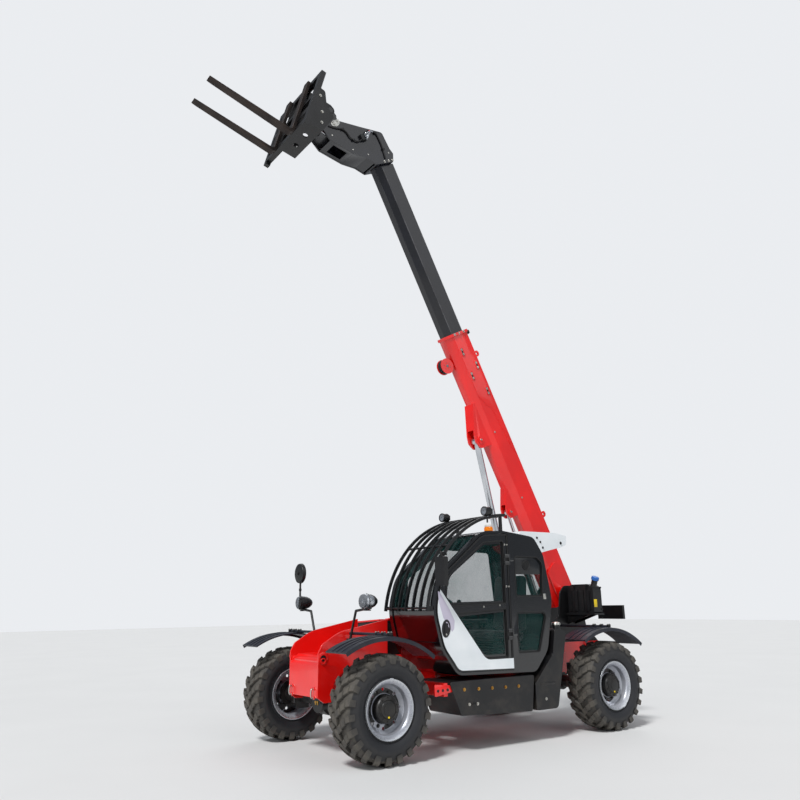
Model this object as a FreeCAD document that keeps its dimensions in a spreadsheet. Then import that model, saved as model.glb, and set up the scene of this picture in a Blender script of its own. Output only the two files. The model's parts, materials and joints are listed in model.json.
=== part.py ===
import FreeCAD, Part
import math
import os

# Telehandler with its boom raised and its forks on.
# Machine frame in millimetres: +X forward, +Y to the cab's side, +Z up, ground at z = 0.
# Shapes are drawn with x counted from the rear axle, and rearAxleX places them in the part's own frame.

Vector = FreeCAD.Vector
Rotation = FreeCAD.Rotation
Placement = FreeCAD.Placement
doc = FreeCAD.newDocument("Telehandler")
sheet = doc.addObject("Spreadsheet::Sheet", "Sizes")

drivingSizes = [
    # alias, value
    ("rearAxleX", -2173), ("wheelbase", 3500), ("trackWidth", 2030), ("kingpinTrack", 1560),
    ("tyreRadius", 537.5), ("tyreWidth", 400), ("lugHeight", 34), ("lugCount", 22),
    ("rimFlangeRadius", 300), ("rimSeatRadius", 252), ("rimWidth", 356), ("rimWall", 13),
    ("discOffset", 50), ("discThickness", 16), ("hubRadius", 137), ("hubProud", 100),
    ("handHoleCount", 8), ("handHoleRadius", 17),
    ("kingpinRadius", 30), ("knuckleHeight", 200), ("yokeThickness", 40), ("axleTubeRadius", 78),
    ("axleHousingRadius", 165), ("runningGap", 6), ("pinClearance", 0.05),
    ("framePlate", 20), ("frameHalfWidth", 235), ("frameTop", 960), ("frameBottom", 430),
    ("noseHalfWidth", 330), ("nosePlate", 20),
    ("boomPivotX", -330), ("boomPivotZ", 1690), ("boomPinRadius", 45), ("boomAngle", 62.5),
    ("boomTop", 215), ("boomSide", -80), ("boomLow", -190), ("boomHalfWidth", 130), ("boomLowHalf", 55),
    ("boomLength", 4090), ("boomWall", 12), ("collarLip", 20), ("collarLength", 40),
    ("stageTop", 165), ("stageSide", -72), ("stageLow", -160), ("stageHalfWidth", 108), ("stageLowHalf", 48),
    ("stageEnd", 6700), ("stageStart", 2760),
    ("liftPinX", 440), ("liftPinZ", 900), ("liftPinRadius", 35), ("liftEyeU", 2550), ("liftEyeW", -315),
    ("liftBarrelRadius", 72), ("liftRodRadius", 44), ("liftBarrelLength", 1600),
    ("levelPinX", -100), ("levelPinZ", 1000), ("levelPinRadius", 24), ("levelEyeU", 1430),
    ("levelEyeW", -295),
    ("levelBarrelRadius", 44), ("levelRodRadius", 24), ("levelBarrelLength", 1090),
    ("headPivotU", 7538), ("headPivotW", -642), ("headPinRadius", 36), ("headHalfWidth", 165),
    ("headPlate", 22),
    ("tiltPinU", 6800), ("tiltPinW", -200), ("tiltPinRadius", 22), ("tiltBarrelRadius", 48),
    ("tiltRodRadius", 26),
    ("tiltBarrelLength", 560), ("tiltArm", 210), ("tiltArmAngle", 222.4),
    ("forkAngle", 14.9), ("forkLength", 1200), ("forkWidth", 110), ("forkThickness", 45),
    ("forkSpacing", 508),
    ("carriageWidth", 1172), ("carriageX", 335), ("carriageDepth", 68), ("carriageTop", 126),
    ("carriageBottom", -790), ("couplerHalfWidth", 380),
    ("cabInnerY", 262), ("cabOuterY", 1120), ("cabWall", 46), ("doorGap", 6), ("doorRearX", 1690),
    ("glassThickness", 6), ("panelThickness", 9),
    ("guardBar", 22), ("guardDepth", 34), ("guardCount", 7),
    ("fenderWidth", 400), ("fenderThickness", 16), ("fenderLip", 42), ("fenderTubeRadius", 16),
    ("hoodInnerY", -275), ("hoodOuterY", -1150), ("hoodRearX", 860), ("hoodFrontX", 2640),
    ("hoodTop", 1390), ("hoodSplit", 900), ("hoodBottom", 590), ("sheetThickness", 20),
    ("counterweightX", -1010), ("hitchBoreRadius", 17),
]
for row, (alias, value) in enumerate(drivingSizes, 1):
    sheet.set("A%d" % row, alias)
    sheet.set("B%d" % row, str(value))
    sheet.setAlias("B%d" % row, alias)
doc.recompute()


class SheetValues:
    # The sheet's numbers, read back by alias.
    def __init__(self):
        for alias, _ in drivingSizes:
            setattr(self, alias, float(sheet.get(alias)))


size = SheetValues()
nodes = {}


# Helpers for outlines, sketches and solids

def outlineGeometry(points):
    # Closed outline of lines, with an arc at each corner that gives a radius: (a, b) or (a, b, radius).
    corners = []
    for index, point in enumerate(points):
        here = Vector(point[0], point[1], 0)
        radius = point[2] if len(point) > 2 else 0
        if not radius:
            corners.append((here, None, here))
            continue
        before = Vector(*points[index - 1][:2], 0) - here
        after = Vector(*points[(index + 1) % len(points)][:2], 0) - here
        before.normalize()
        after.normalize()
        halfAngle = before.getAngle(after) / 2
        reach = radius / math.tan(halfAngle)
        inward = (before + after).normalize()
        middle = here + inward * (radius / math.sin(halfAngle) - radius)
        corners.append((here + before * reach, middle, here + after * reach))
    geometry = []
    for index, (start, middle, end) in enumerate(corners):
        following = corners[(index + 1) % len(corners)][0]
        if middle is not None:
            geometry.append(Part.Arc(start, middle, end))
        if (following - end).Length > 1e-6:
            geometry.append(Part.LineSegment(end, following))
    return geometry


def bandGeometry(centre, radius, depth, startAngle, endAngle):
    # Outline of a curved strip between two concentric arcs, angles in degrees.
    def at(distance, angle):
        turn = math.radians(angle)
        return Vector(centre[0] + distance * math.cos(turn), centre[1] + distance * math.sin(turn), 0)
    middle = (startAngle + endAngle) / 2
    inner = radius - depth
    return [Part.Arc(at(radius, startAngle), at(radius, middle), at(radius, endAngle)),
            Part.LineSegment(at(radius, endAngle), at(inner, endAngle)),
            Part.Arc(at(inner, endAngle), at(inner, middle), at(inner, startAngle)),
            Part.LineSegment(at(inner, startAngle), at(radius, startAngle))]


def arcThrough(first, middle, last):
    # Centre, radius and the two end angles, in degrees, of the arc through three points.
    circle = Part.Circle(*[Vector(point[0], point[1], 0) for point in (first, middle, last)])
    centre = (circle.Center.x, circle.Center.y)
    angles = [math.degrees(math.atan2(point[1] - centre[1], point[0] - centre[0])) for point in (first, last)]
    return centre, circle.Radius, angles[0], angles[1]


def inset(points, distance):
    # The same convex outline, each side moved inwards (counter-clockwise outlines).
    count = len(points)
    moved = []
    for index in range(count):
        corner = Vector(*points[index][:2], 0)
        before = corner - Vector(*points[index - 1][:2], 0)
        after = Vector(*points[(index + 1) % count][:2], 0) - corner
        before.normalize()
        after.normalize()
        normalBefore = Vector(-before.y, before.x, 0)
        normalAfter = Vector(-after.y, after.x, 0)
        shift = (normalBefore + normalAfter) * (distance / (1 + normalBefore.dot(normalAfter)))
        radius = points[index][2] if len(points[index]) > 2 else 0
        moved.append((corner.x + shift.x, corner.y + shift.y, max(radius - distance, 0)))
    return moved


def originPlane(body, role):
    for feature in body.Origin.OriginFeatures:
        if feature.Role == role:
            return feature
    raise ValueError(role)


def sketchOn(body, role, offset, outlines, holes=()):
    sketch = body.newObject("Sketcher::SketchObject", body.Name + "Sketch")
    sketch.AttachmentSupport = (originPlane(body, role), [""])
    sketch.MapMode = "FlatFace"
    sketch.AttachmentOffset = Placement(Vector(0, 0, offset), Rotation())
    for outline in outlines:
        geometry = outlineGeometry(outline) if isinstance(outline[0], tuple) else outline
        sketch.addGeometry(geometry, False)
    for across, up, radius in holes:
        sketch.addGeometry(Part.Circle(Vector(across, up, 0), Vector(0, 0, 1), radius), False)
    return sketch


def amount(thing, prop, value):
    # A size given as an alias or a formula on aliases is bound to the sheet; a number is set.
    if isinstance(value, str):
        thing.setExpression(prop, value)
    else:
        setattr(thing, prop, value)


def prism(name, role, outlines, start, thickness, holes=()):
    # A plate or block: outlines in the plane XZ_Plane (x, z), YZ_Plane (y, z) or XY_Plane (x, y),
    # padded from start along the plane's own axis by thickness.
    if not isinstance(outlines[0], list):
        outlines = [outlines]
    body = doc.addObject("PartDesign::Body", name)
    facesBack = role == "XZ_Plane"
    sketch = sketchOn(body, role, -start if facesBack else start, outlines, holes)
    pad = body.newObject("PartDesign::Pad", name + "Pad")
    pad.Profile = sketch
    pad.Reversed = facesBack
    amount(pad, "Length", thickness)
    body.Tip = pad
    return body


def turned(name, outline):
    # A solid of revolution about the Y axis, outline as (radius, y).
    body = doc.addObject("PartDesign::Body", name)
    sketch = sketchOn(body, "XY_Plane", 0, [outline])
    revolution = body.newObject("PartDesign::Revolution", name + "Revolution")
    revolution.Profile = sketch
    revolution.ReferenceAxis = (sketch, ["V_Axis"])
    revolution.Angle = 360
    body.Tip = revolution
    return body


def block(name, low, high):
    box = doc.addObject("Part::Box", name)
    box.Length, box.Width, box.Height = [high[axis] - low[axis] for axis in range(3)]
    box.Placement.Base = Vector(*low)
    return box


def rod(name, start, end, radius):
    # A cylinder between two points; the radius may be an alias.
    start, end = Vector(*start), Vector(*end)
    cylinder = doc.addObject("Part::Cylinder", name)
    amount(cylinder, "Radius", radius)
    cylinder.Height = (end - start).Length
    cylinder.Placement = Placement(start, Rotation(Vector(0, 0, 1), end - start))
    return cylinder


def fuse(name, pieces):
    fusion = doc.addObject("Part::MultiFuse", name)
    fusion.Shapes = pieces
    fusion.Refine = True
    return fusion


def cut(name, base, tools):
    cutting = doc.addObject("Part::Cut", name)
    cutting.Base = base
    cutting.Tool = tools[0] if len(tools) == 1 else fuse(name + "Tools", tools)
    return cutting


def gather(name, pieces):
    # Like pieces of one node that don't touch.
    group = doc.addObject("Part::Compound", name)
    group.Links = pieces
    return group


def copyOf(name, source):
    feature = doc.addObject("Part::Feature", name)
    feature.Shape = source.Shape.copy()
    return feature


def keep(label, piece, base=(0, 0, 0), angle=0):
    # Names a sub-part and sets it in the part's frame: base is its origin in the machine frame,
    # angle turns it nose up about Y.
    piece.Placement = Placement(Vector(*base), Rotation(Vector(0, 1, 0), -angle))
    piece.setExpression("Placement.Base.x", "Sizes.rearAxleX + %r" % base[0])
    piece.Label = label
    nodes[label] = piece
    return piece


# Wheels: the tyre's outline as (radius, y), lugs trimmed by the crown's envelope

def makeTyre():
    carcassRadius = size.tyreRadius - size.lugHeight
    half = size.tyreWidth / 2
    bead = size.rimWidth / 2 - 46
    side = [(size.rimSeatRadius, bead), (size.rimSeatRadius + 10, bead + 6),
            (size.rimFlangeRadius - 10, bead + 28),
            (size.rimFlangeRadius + 12, bead + 34),
            (0.7 * size.tyreRadius, half - 5), (0.82 * size.tyreRadius, half - 10),
            (carcassRadius - 22, half - 26), (carcassRadius, half - 75)]
    profile = side + [(radius, -across) for radius, across in reversed(side)]
    tyre = turned("tyreCasing", profile)
    # A lug's outline on the tyre's top, (x, y) as a share of the lug pitch and of half the width:
    # its centre end leads, and it steps back towards the shoulder.
    pitch = 2 * math.pi * size.tyreRadius / size.lugCount
    lugShape = [(0.37, -0.03), (0.02, 0.40), (-0.07, 0.40), (-0.32, 0.72), (-0.41, 0.72), (-0.52, 1.02),
                (-0.96, 1.02), (-0.86, 0.72), (-0.78, 0.72), (-0.52, 0.36), (-0.43, 0.36), (-0.12, -0.03)]
    near = [(along * pitch, across * half) for along, across in lugShape]
    halfTurn = math.pi / size.lugCount
    far = [(along * pitch + math.sin(halfTurn) * size.tyreRadius,
            -across * half) for along, across in lugShape]
    lugSketch = sketchOn(tyre, "XY_Plane", 0.8 * size.tyreRadius, [near, far])
    lugs = tyre.newObject("PartDesign::Pad", "lugPad")
    lugs.Profile = lugSketch
    lugs.Length = 0.25 * size.tyreRadius
    ring = tyre.newObject("PartDesign::PolarPattern", "lugRing")
    ring.Originals = [lugs]
    ring.Axis = (originPlane(tyre, "Y_Axis"), [""])
    ring.Angle = 360
    ring.Occurrences = int(size.lugCount)
    tyre.Tip = ring
    crown = [(size.rimSeatRadius - 1, half), (size.tyreRadius * 0.84, half), (size.tyreRadius * 0.945, half),
             (size.tyreRadius - 7, half * 0.72), (size.tyreRadius, half * 0.3)]
    envelope = turned("tyreEnvelope", crown + [(radius, -across) for radius, across in reversed(crown)])
    trimmed = doc.addObject("Part::Common", "tyrePattern")
    trimmed.Base = tyre
    trimmed.Tool = envelope
    return trimmed


def makeRim(outward):
    # One-piece rim, disc and planetary hub; outward is +1 on the cab's side and -1 on the other.
    half = size.rimWidth / 2
    seat = size.rimSeatRadius - 0.5
    wallInside = seat - size.rimWall
    flange = size.rimFlangeRadius
    face = size.discOffset
    back = face - size.discThickness
    hubFace = face + size.hubProud
    # One side of the rim's edge as (radius, distance in from the rim's end), first its outside, then its inside
    edgeOut = [(wallInside, 46), (seat - 6, 26), (flange - 22, 4), (flange - 8, 0), (flange, 0)]
    edgeIn = [(flange, 10), (flange - 14, 14), (seat + 6, 34), (seat, 44)]
    outline = [(0, hubFace), (84, hubFace), (90, hubFace - 8), (size.hubRadius - 12, hubFace - 12),
               (size.hubRadius, hubFace - 26), (size.hubRadius, face + 12), (size.hubRadius + 14, face),
               (wallInside - 40, face), (wallInside, face + 34)]
    outline += [(radius, half - inward) for radius, inward in edgeOut + edgeIn]
    outline += [(radius, inward - half) for radius, inward in reversed(edgeOut + edgeIn)]
    outline += [(wallInside, back), (size.hubRadius + 6, back), (size.hubRadius + 6, -60), (0, -60)]
    name = "wheelLeft" if outward > 0 else "wheelRight"
    rim = turned(name, [(radius, across * outward) for radius, across in outline])
    # Hand holes round the disc
    holeCircle = (size.hubRadius + wallInside) / 2
    holeSketch = sketchOn(rim, "XZ_Plane", 0, [], [(holeCircle, 0, size.handHoleRadius)])
    pocket = rim.newObject("PartDesign::Pocket", name + "Hole")
    pocket.Profile = holeSketch
    pocket.Type = "ThroughAll"
    pocket.Midplane = True
    ring = rim.newObject("PartDesign::PolarPattern", name + "Holes")
    ring.Originals = [pocket]
    ring.Axis = (originPlane(rim, "Y_Axis"), [""])
    ring.Angle = 360
    ring.Occurrences = int(size.handHoleCount)
    rim.Tip = ring
    return rim


def makeKnuckle(side, front):
    # Swivel housing between the axle's yoke plates, drawn about the wheel's centre.
    name = "knuckle%s%s" % ("Front" if front else "Rear", "Left" if side > 0 else "Right")
    kingpinY = -side * (size.trackWidth - size.kingpinTrack) / 2
    halfHeight = size.knuckleHeight / 2
    pinReach = halfHeight + size.runningGap + size.yokeThickness
    armEnd = 1 if front else -1
    arm = [(0, kingpinY + 34), (-armEnd * 190, kingpinY + side * 6 + 30, 28),
           (-armEnd * 190, kingpinY + side * 6 - 30, 28), (0, kingpinY - 34)]
    return fuse(name, [
        rod(name + "Barrel", (0, kingpinY, -halfHeight), (0, kingpinY, halfHeight), 72),
        rod(name + "Pin", (0, kingpinY, -pinReach), (0, kingpinY, pinReach), "Sizes.kingpinRadius"),
        rod(name + "Spindle", (0, kingpinY + side * 20, 0), (0, -side * (60 + size.runningGap), 0), 96),
        rod(name + "Flange", (0, -side * (60 + size.runningGap), 0), (0, -side * 92, 0), 150),
        prism(name + "Arm", "XY_Plane", arm, -halfHeight, 30),
    ])


def makeAxle(name):
    # Beam with a differential housing and a yoke at each end, drawn about the axle's centre.
    yokeInside = size.knuckleHeight / 2 + size.runningGap
    yokeTop = yokeInside + size.yokeThickness
    tubeEnd = size.kingpinTrack / 2 - 95
    pieces = [
        rod(name + "Tube", (0, -tubeEnd, 0), (0, tubeEnd, 0), "Sizes.axleTubeRadius"),
        rod(name + "Waist", (0, -300, 0), (0, 300, 0), 112),
        rod(name + "Cover", (-size.axleHousingRadius, 0, 0), (size.axleHousingRadius, 0, 0), 130),
        rod(name + "Housing", (0, -95, 0), (0, 95, 0), "Sizes.axleHousingRadius"),
    ]
    for side in (1, -1):
        kingpinY = side * size.kingpinTrack / 2
        end = "%sYoke%s" % (name, "Left" if side > 0 else "Right")
        web = (kingpinY - side * 95, kingpinY - side * 150)
        pieces.append(block(end + "Web", (-80, min(web), -yokeTop), (80, max(web), yokeTop)))
        tongue = [(-80, kingpinY - side * 150), (80, kingpinY - side * 150),
                  (62, kingpinY + side * 62, 50), (-62, kingpinY + side * 62, 50)]
        if side < 0:
            tongue.reverse()
        for low in (yokeInside, -yokeTop):
            pieces.append(prism(end + ("Top" if low > 0 else "Bottom"), "XY_Plane", tongue, low,
                                "Sizes.yokeThickness",
                                [(0, kingpinY, size.kingpinRadius + size.pinClearance)]))
    return fuse(name, pieces)


tyrePattern = makeTyre()
rimPatterns = {1: makeRim(1), -1: makeRim(-1)}
doc.recompute()
axlePair = []
for end, axleX in (("front", size.wheelbase), ("rear", 0)):
    for hand, side in (("left", 1), ("right", -1)):
        centre = (axleX, side * size.trackWidth / 2, size.tyreRadius)
        keep("tyre_%s_%s" % (end, hand), copyOf("tyre" + end + hand, tyrePattern), centre)
        keep("wheel_%s_%s" % (end, hand), copyOf("wheel" + end + hand, rimPatterns[side]), centre)
        keep("knuckle_%s_%s" % (end, hand), makeKnuckle(side, end == "front"), centre)
    axle = makeAxle(end + "Axle")
    axle.Placement.Base = Vector(axleX, 0, 0)
    axlePair.append(axle)
keep("axles", gather("axlePair", axlePair), (0, 0, size.tyreRadius))


# Cab outline (x, z, corner radius), counter-clockwise seen with +X to the right and +Z up
cabOutline = [(1330, 775, 120), (2540, 800, 160), (2765, 1080, 400), (2875, 1500, 500), (2765, 1890, 450),
              (2120, 2385, 300), (1777, 2412, 300), (1250, 2356, 150), (1098, 2150, 260), (985, 1600, 500),
              (1110, 1010, 300)]
boxInnerY, tankInnerY = 590, 640


def cabUnderside(x):
    # Height of the cab floor's underside.
    (x0, z0), (x1, z1) = cabOutline[0][:2], cabOutline[1][:2]
    return z0 + (z1 - z0) * (x - x0) / (x1 - x0)


def cabFloor(x):
    (x0, z0), (x1, z1) = cabOutline[0][:2], cabOutline[1][:2]
    return cabUnderside(x) + size.cabWall * math.hypot(x1 - x0, z1 - z0) / (x1 - x0)


def cabSolid(name):
    # The cab's outside as a solid, to seat a piece on it.
    return prism(name, "XZ_Plane", cabOutline, size.cabInnerY - 1, size.cabOuterY - size.cabInnerY + 2)


def fromAxle(axleX, points):
    # The same outline with its first coordinate counted from an axle.
    return [(axleX + point[0],) + tuple(point[1:]) for point in points]


# Chassis: two side plates with the boom's tower at the rear, cross members, mounts and pins

def makeChassis():
    inner = size.frameHalfWidth - size.framePlate
    pivotX, pivotZ = size.boomPivotX, size.boomPivotZ
    low, top = size.frameBottom, size.frameTop
    sideOutline = [(-900, 760), (250, 760), (480, low, 60)]
    sideOutline += fromAxle(size.wheelbase, [(-500, low, 60), (-250, 760), (200, 760), (200, top + 50),
                                             (-550, top + 50), (-800, top, 100)])
    sideOutline += [(700, top, 200), (340, 1020, 120), (pivotX + 250, pivotZ - 300, 120),
                    (pivotX + 200, pivotZ + 20, 80), (pivotX + 110, pivotZ + 110, 100),
                    (pivotX - 110, pivotZ + 110, 100), (pivotX - 270, pivotZ - 290, 80),
                    (pivotX - 310, pivotZ - 460, 60), (-900, 1000, 60)]
    pieces = []
    for name, start in (("Left", inner), ("Right", -size.frameHalfWidth)):
        pieces.append(prism("sidePlate" + name, "XZ_Plane", sideOutline, start, "Sizes.framePlate"))
    # Cross members between the side plates: low corner and high corner in x and z
    front = size.wheelbase
    crossMembers = [("belly", 520, low, front - 540, low + 16),
                    ("rearWall", -900, 760, -880, 960), ("towerWall", -560, 770, -540, 1180),
                    ("midWall", 560, low + 10, 580, 820), ("frontWall", front - 510, 500, front - 490, 1000),
                    ("frontDeck", front - 490, 760, front + 200, 776), ("rearDeck", -880, 760, 200, 776)]
    for name, x0, z0, x1, z1 in crossMembers:
        pieces.append(block(name, (x0, -inner, z0), (x1, inner, z1)))
    # Pads that seat on the axle tubes
    padBottom = size.tyreRadius + size.axleTubeRadius - 12
    for name, axleX in (("Rear", 0), ("Front", size.wheelbase)):
        for side in (1, -1):
            edges = sorted((side * size.frameHalfWidth, side * 305))
            pieces.append(block("axlePad%s%d" % (name, side), (axleX - 90, edges[0], padBottom),
                                (axleX + 90, edges[1], 900)))
    for name, x, z, radius in (("boomPin", pivotX, pivotZ, "Sizes.boomPinRadius"),
                               ("liftPin", size.liftPinX, size.liftPinZ, "Sizes.liftPinRadius"),
                               ("levelPin", size.levelPinX, size.levelPinZ, "Sizes.levelPinRadius")):
        pieces.append(rod(name, (x, -size.frameHalfWidth - 24, z), (x, size.frameHalfWidth + 24, z), radius))
    # Outriggers: name, first and last x, side, last y, low and top z
    outriggers = [("boxRear", 1480, 1570, 1, boxInnerY, 500, 570),
                  ("boxFront", 2430, 2520, 1, boxInnerY, 500, 570),
                  ("tankCarrier", 1100, 1190, 1, tankInnerY, 500, 570),
                  ("stepBeam", 2700, 2755, 1, 1130, 600, 735),
                  ("hoodRear", 980, 1070, -1, 860, 500, size.hoodBottom),
                  ("hoodFront", 2380, 2470, -1, 860, 500, size.hoodBottom)]
    for name, x0, x1, side, reach, z0, z1 in outriggers:
        edges = sorted((side * size.frameHalfWidth, side * reach))
        pieces.append(block(name, (x0, edges[0], z0), (x1, edges[1], z1)))
    # Mounts whose tops lie under the cab's sloping floor
    for name, x in (("cabMountRear", 1600), ("cabMountFront", 2330)):
        mount = [(x, 640), (x + 90, 640), (x + 90, cabUnderside(x + 90)), (x, cabUnderside(x))]
        pieces.append(prism(name, "XZ_Plane", mount, size.frameHalfWidth,
                            boxInnerY - size.frameHalfWidth - 30))
    tubes = [rod("axleSaddle" + name, (axleX, -310, size.tyreRadius), (axleX, 310, size.tyreRadius),
                 size.axleTubeRadius + 34) for name, axleX in (("Rear", 0), ("Front", size.wheelbase))]
    return cut("chassis", fuse("chassisPieces", pieces), tubes)


keep("chassis_frame", makeChassis())


# Nose: two shaped side plates with a sunk deck between them, where the lowered boom lies

def makeNose():
    half = size.noseHalfWidth
    plate = size.nosePlate
    deckZ = size.frameTop + 50
    sideOutline = fromAxle(size.wheelbase, [
        (-570, 740), (-460, 700, 60), (-320, 850, 120), (-40, 900, 200), (140, 760, 80), (180, 545),
        (270, 545), (350, 600), (350, 1060, 60), (300, 1150, 80), (80, 1275, 500), (-570, 1400)])
    # Sunk deck between the plates, folded down into the front wall
    deck = fromAxle(size.wheelbase, [
        (-490, deckZ), (240, deckZ), (332, deckZ - 82), (332, 600), (350, 600), (350, deckZ - 74),
        (247, deckZ + 18), (-490, deckZ + 18)])
    tubeX, tubeZ = size.wheelbase + 290, deckZ - 35
    pieces = [prism("noseLeft", "XZ_Plane", sideOutline, half - plate, "Sizes.nosePlate"),
              prism("noseRight", "XZ_Plane", sideOutline, -half, "Sizes.nosePlate"),
              prism("noseDeck", "XZ_Plane", deck, -half + plate, 2 * (half - plate)),
              rod("noseTube", (tubeX, -half - 12, tubeZ), (tubeX, half + 12, tubeZ), 34)]
    bore = rod("noseTubeBore", (tubeX, -half - 20, tubeZ), (tubeX, half + 20, tubeZ), 22)
    return cut("nose", fuse("nosePieces", pieces), [bore])


keep("nose", makeNose())

# Door hinges: axis outside the cab's skin, knuckles of the door above and below those of the B-post
hingeRadius = 11
hingeAxisY = size.cabOuterY + hingeRadius + 3
doorKnuckles = [(1148, 1190), (1232, 1274), (2008, 2050), (2092, 2134)]
postKnuckles = [(1192, 1230), (2052, 2090)]


def hingeSet(name, knuckles, strapEnd):
    # Round knuckles on the hinge axis, each with a strap to the face that carries it.
    pieces = []
    low, high = sorted((size.doorRearX, strapEnd))
    for index, (z0, z1) in enumerate(knuckles):
        pieces.append(rod("%sKnuckle%d" % (name, index), (size.doorRearX, hingeAxisY, z0),
                          (size.doorRearX, hingeAxisY, z1), hingeRadius))
        pieces.append(block("%sStrap%d" % (name, index), (low, size.cabOuterY, z0), (high, hingeAxisY, z1)))
    return pieces


def makeCabShell():
    outer = prism("cabOuter", "XZ_Plane", cabOutline, size.cabInnerY, "Sizes.cabOuterY - Sizes.cabInnerY")
    inside = inset(cabOutline, size.cabWall)
    innerY = size.cabInnerY + size.cabWall
    outerY = size.cabOuterY - size.cabWall
    hollow = prism("cabHollow", "XZ_Plane", inside, innerY, outerY - innerY)
    doorHole = doc.addObject("Part::Common", "doorHole")
    doorHole.Base = prism("doorHoleOutline", "XZ_Plane", inset(cabOutline, 30), outerY - 1, size.cabWall + 2)
    doorHole.Tool = block("doorHoleSpan", (size.doorRearX, outerY - 2, 700), (3000, size.cabOuterY + 2, 2600))
    # Window openings: name, plane, outline, start, depth
    left = (outerY - 1, size.cabWall + 2)
    right = (size.cabInnerY - 1, size.cabWall + 2)
    across = (size.cabInnerY + 62, size.cabOuterY - size.cabInnerY - 124)
    openings = [
        prism("quarterTop", "XZ_Plane", quarterTopWindow, *left),
        prism("quarterLow", "XZ_Plane", quarterLowWindow, *left),
        prism("rightWindow", "XZ_Plane", rightWindow, *right),
        prism("windscreenHole", "XZ_Plane", windscreenSpan, *across),
        prism("roofHole", "XZ_Plane", roofSpan, *across),
        prism("rearHole", "XZ_Plane", rearSpan, *across),
    ]
    shell = cut("cabShell", outer, [hollow, doorHole] + openings)
    return fuse("cabFrame", [shell] + hingeSet("postHinge", postKnuckles, size.doorRearX - 70))


quarterTopWindow = [(1150, 1640, 40), (1590, 1640, 20), (1590, 2110, 30), (1215, 2110, 60), (1120, 2040, 100)]
quarterLowWindow = [(1250, 1000, 40), (1590, 1000, 20), (1590, 1455, 20), (1090, 1455, 60)]
rightWindow = [(1140, 1420, 60), (2640, 1420, 60), (2620, 1880, 120), (2020, 2260, 80), (1230, 2240, 80)]
windscreenSpan = [(2650, 1150), (3000, 1150), (3000, 2500), (2150, 2500), (2150, 2150), (2650, 1700)]
roofSpan = [(1540, 2300), (1980, 2300), (1980, 2600), (1540, 2600)]
rearSpan = [(800, 1500), (1200, 1500), (1200, 2090), (800, 2090)]

keep("cab_frame", makeCabShell())


def makeGlass():
    # Fixed panes: each a thin layer that follows the cab's outline, or a flat pane in a side wall.
    layerOut = prism("glassOuter", "XZ_Plane", inset(cabOutline, 14), size.cabInnerY + 62,
                     size.cabOuterY - size.cabInnerY - 124)
    layerIn = prism("glassInner", "XZ_Plane", inset(cabOutline, 14 + size.glassThickness),
                    size.cabInnerY + 40, size.cabOuterY - size.cabInnerY - 80)
    layer = cut("glassLayer", layerOut, [layerIn])
    panes = []
    for name, span in (("windscreen", windscreenSpan), ("roofPane", roofSpan), ("rearPane", rearSpan)):
        pane = doc.addObject("Part::Common", name)
        pane.Base = layer
        pane.Tool = prism(name + "Span", "XZ_Plane", span, size.cabInnerY + 40,
                          size.cabOuterY - size.cabInnerY - 80)
        panes.append(pane)
    for name, outline, start in (("quarterTopPane", quarterTopWindow, size.cabOuterY - 26),
                                 ("quarterLowPane", quarterLowWindow, size.cabOuterY - 26),
                                 ("rightPane", rightWindow, size.cabInnerY + 20)):
        panes.append(prism(name, "XZ_Plane", outline, start, "Sizes.glassThickness"))
    return gather("cabGlass", panes)


keep("cab_glass", makeGlass())


# Door: black frame with two windows, white outer panel and a handle bay

upperWindow = [(1770, 1560, 20), (2700, 1540, 60), (2650, 1870, 250), (2080, 2262, 60), (1770, 2290, 30)]
lowerWindow = [(1770, 960, 20), (2130, 960, 140), (2600, 1420, 60), (2480, 1455, 200), (1770, 1500, 20)]


def doorLeaf(name, distance, start, thickness):
    # The cab's outline drawn in by distance and ended at the B-post.
    leaf = doc.addObject("Part::Common", name)
    leaf.Base = prism(name + "Outline", "XZ_Plane", inset(cabOutline, distance), start, thickness)
    leaf.Tool = block(name + "Span", (size.doorRearX + size.doorGap, start - 1, 700),
                      (3000, start + 200, 2600))
    return leaf


def makeDoor():
    start = size.cabOuterY - size.cabWall
    leaf = doorLeaf("doorLeaf", 30 + size.doorGap, start, size.cabWall)
    holes = [prism("upperHole", "XZ_Plane", upperWindow, start - 1, size.cabWall + 2),
             prism("lowerHole", "XZ_Plane", lowerWindow, start - 1, size.cabWall + 2)]
    return fuse("doorFrame", [cut("doorWindows", leaf, holes)]
                + hingeSet("doorHinge", doorKnuckles, size.doorRearX + 70))


def makeDoorPanel():
    # White skin over the door's lower front, its inner edge falling from the belt to the sill.
    skin = doorLeaf("panelLeaf", 44 + size.doorGap, size.cabOuterY, size.panelThickness)
    trim = [(1600, 945), (2120, 945, 160), (2830, 1800), (2960, 2000), (1600, 2700)]
    bayX = cabOutline[3][0] - 130
    bay = rod("handleBay", (bayX, size.cabOuterY - 10, 1510), (bayX, size.cabOuterY + 30, 1510), 62)
    return cut("doorPanel", skin, [prism("panelTrim", "XZ_Plane", trim, size.cabOuterY - 5, 40), bay])


keep("door_frame", makeDoor())
keep("door_panel", makeDoorPanel())
keep("door_glass", gather("doorGlass", [
    prism("upperPane", "XZ_Plane", upperWindow, size.cabOuterY - 26, "Sizes.glassThickness"),
    prism("lowerPane", "XZ_Plane", lowerWindow, size.cabOuterY - 26, "Sizes.glassThickness")]))

# White cap seated on the roof's rear part and out behind it
capOutline = [(1500, 2386), (1456, 2420, 20), (840, 2425, 60), (645, 2395, 20), (660, 2280, 20),
              (728, 2255, 20),
              (1180, 2157), (1500, 2157)]
keep("roof_cap", cut("roofCap", prism("capBlank", "XZ_Plane", capOutline, size.cabInnerY,
                                      "Sizes.cabOuterY - Sizes.cabInnerY"), [cabSolid("capSeat")]))


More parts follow.
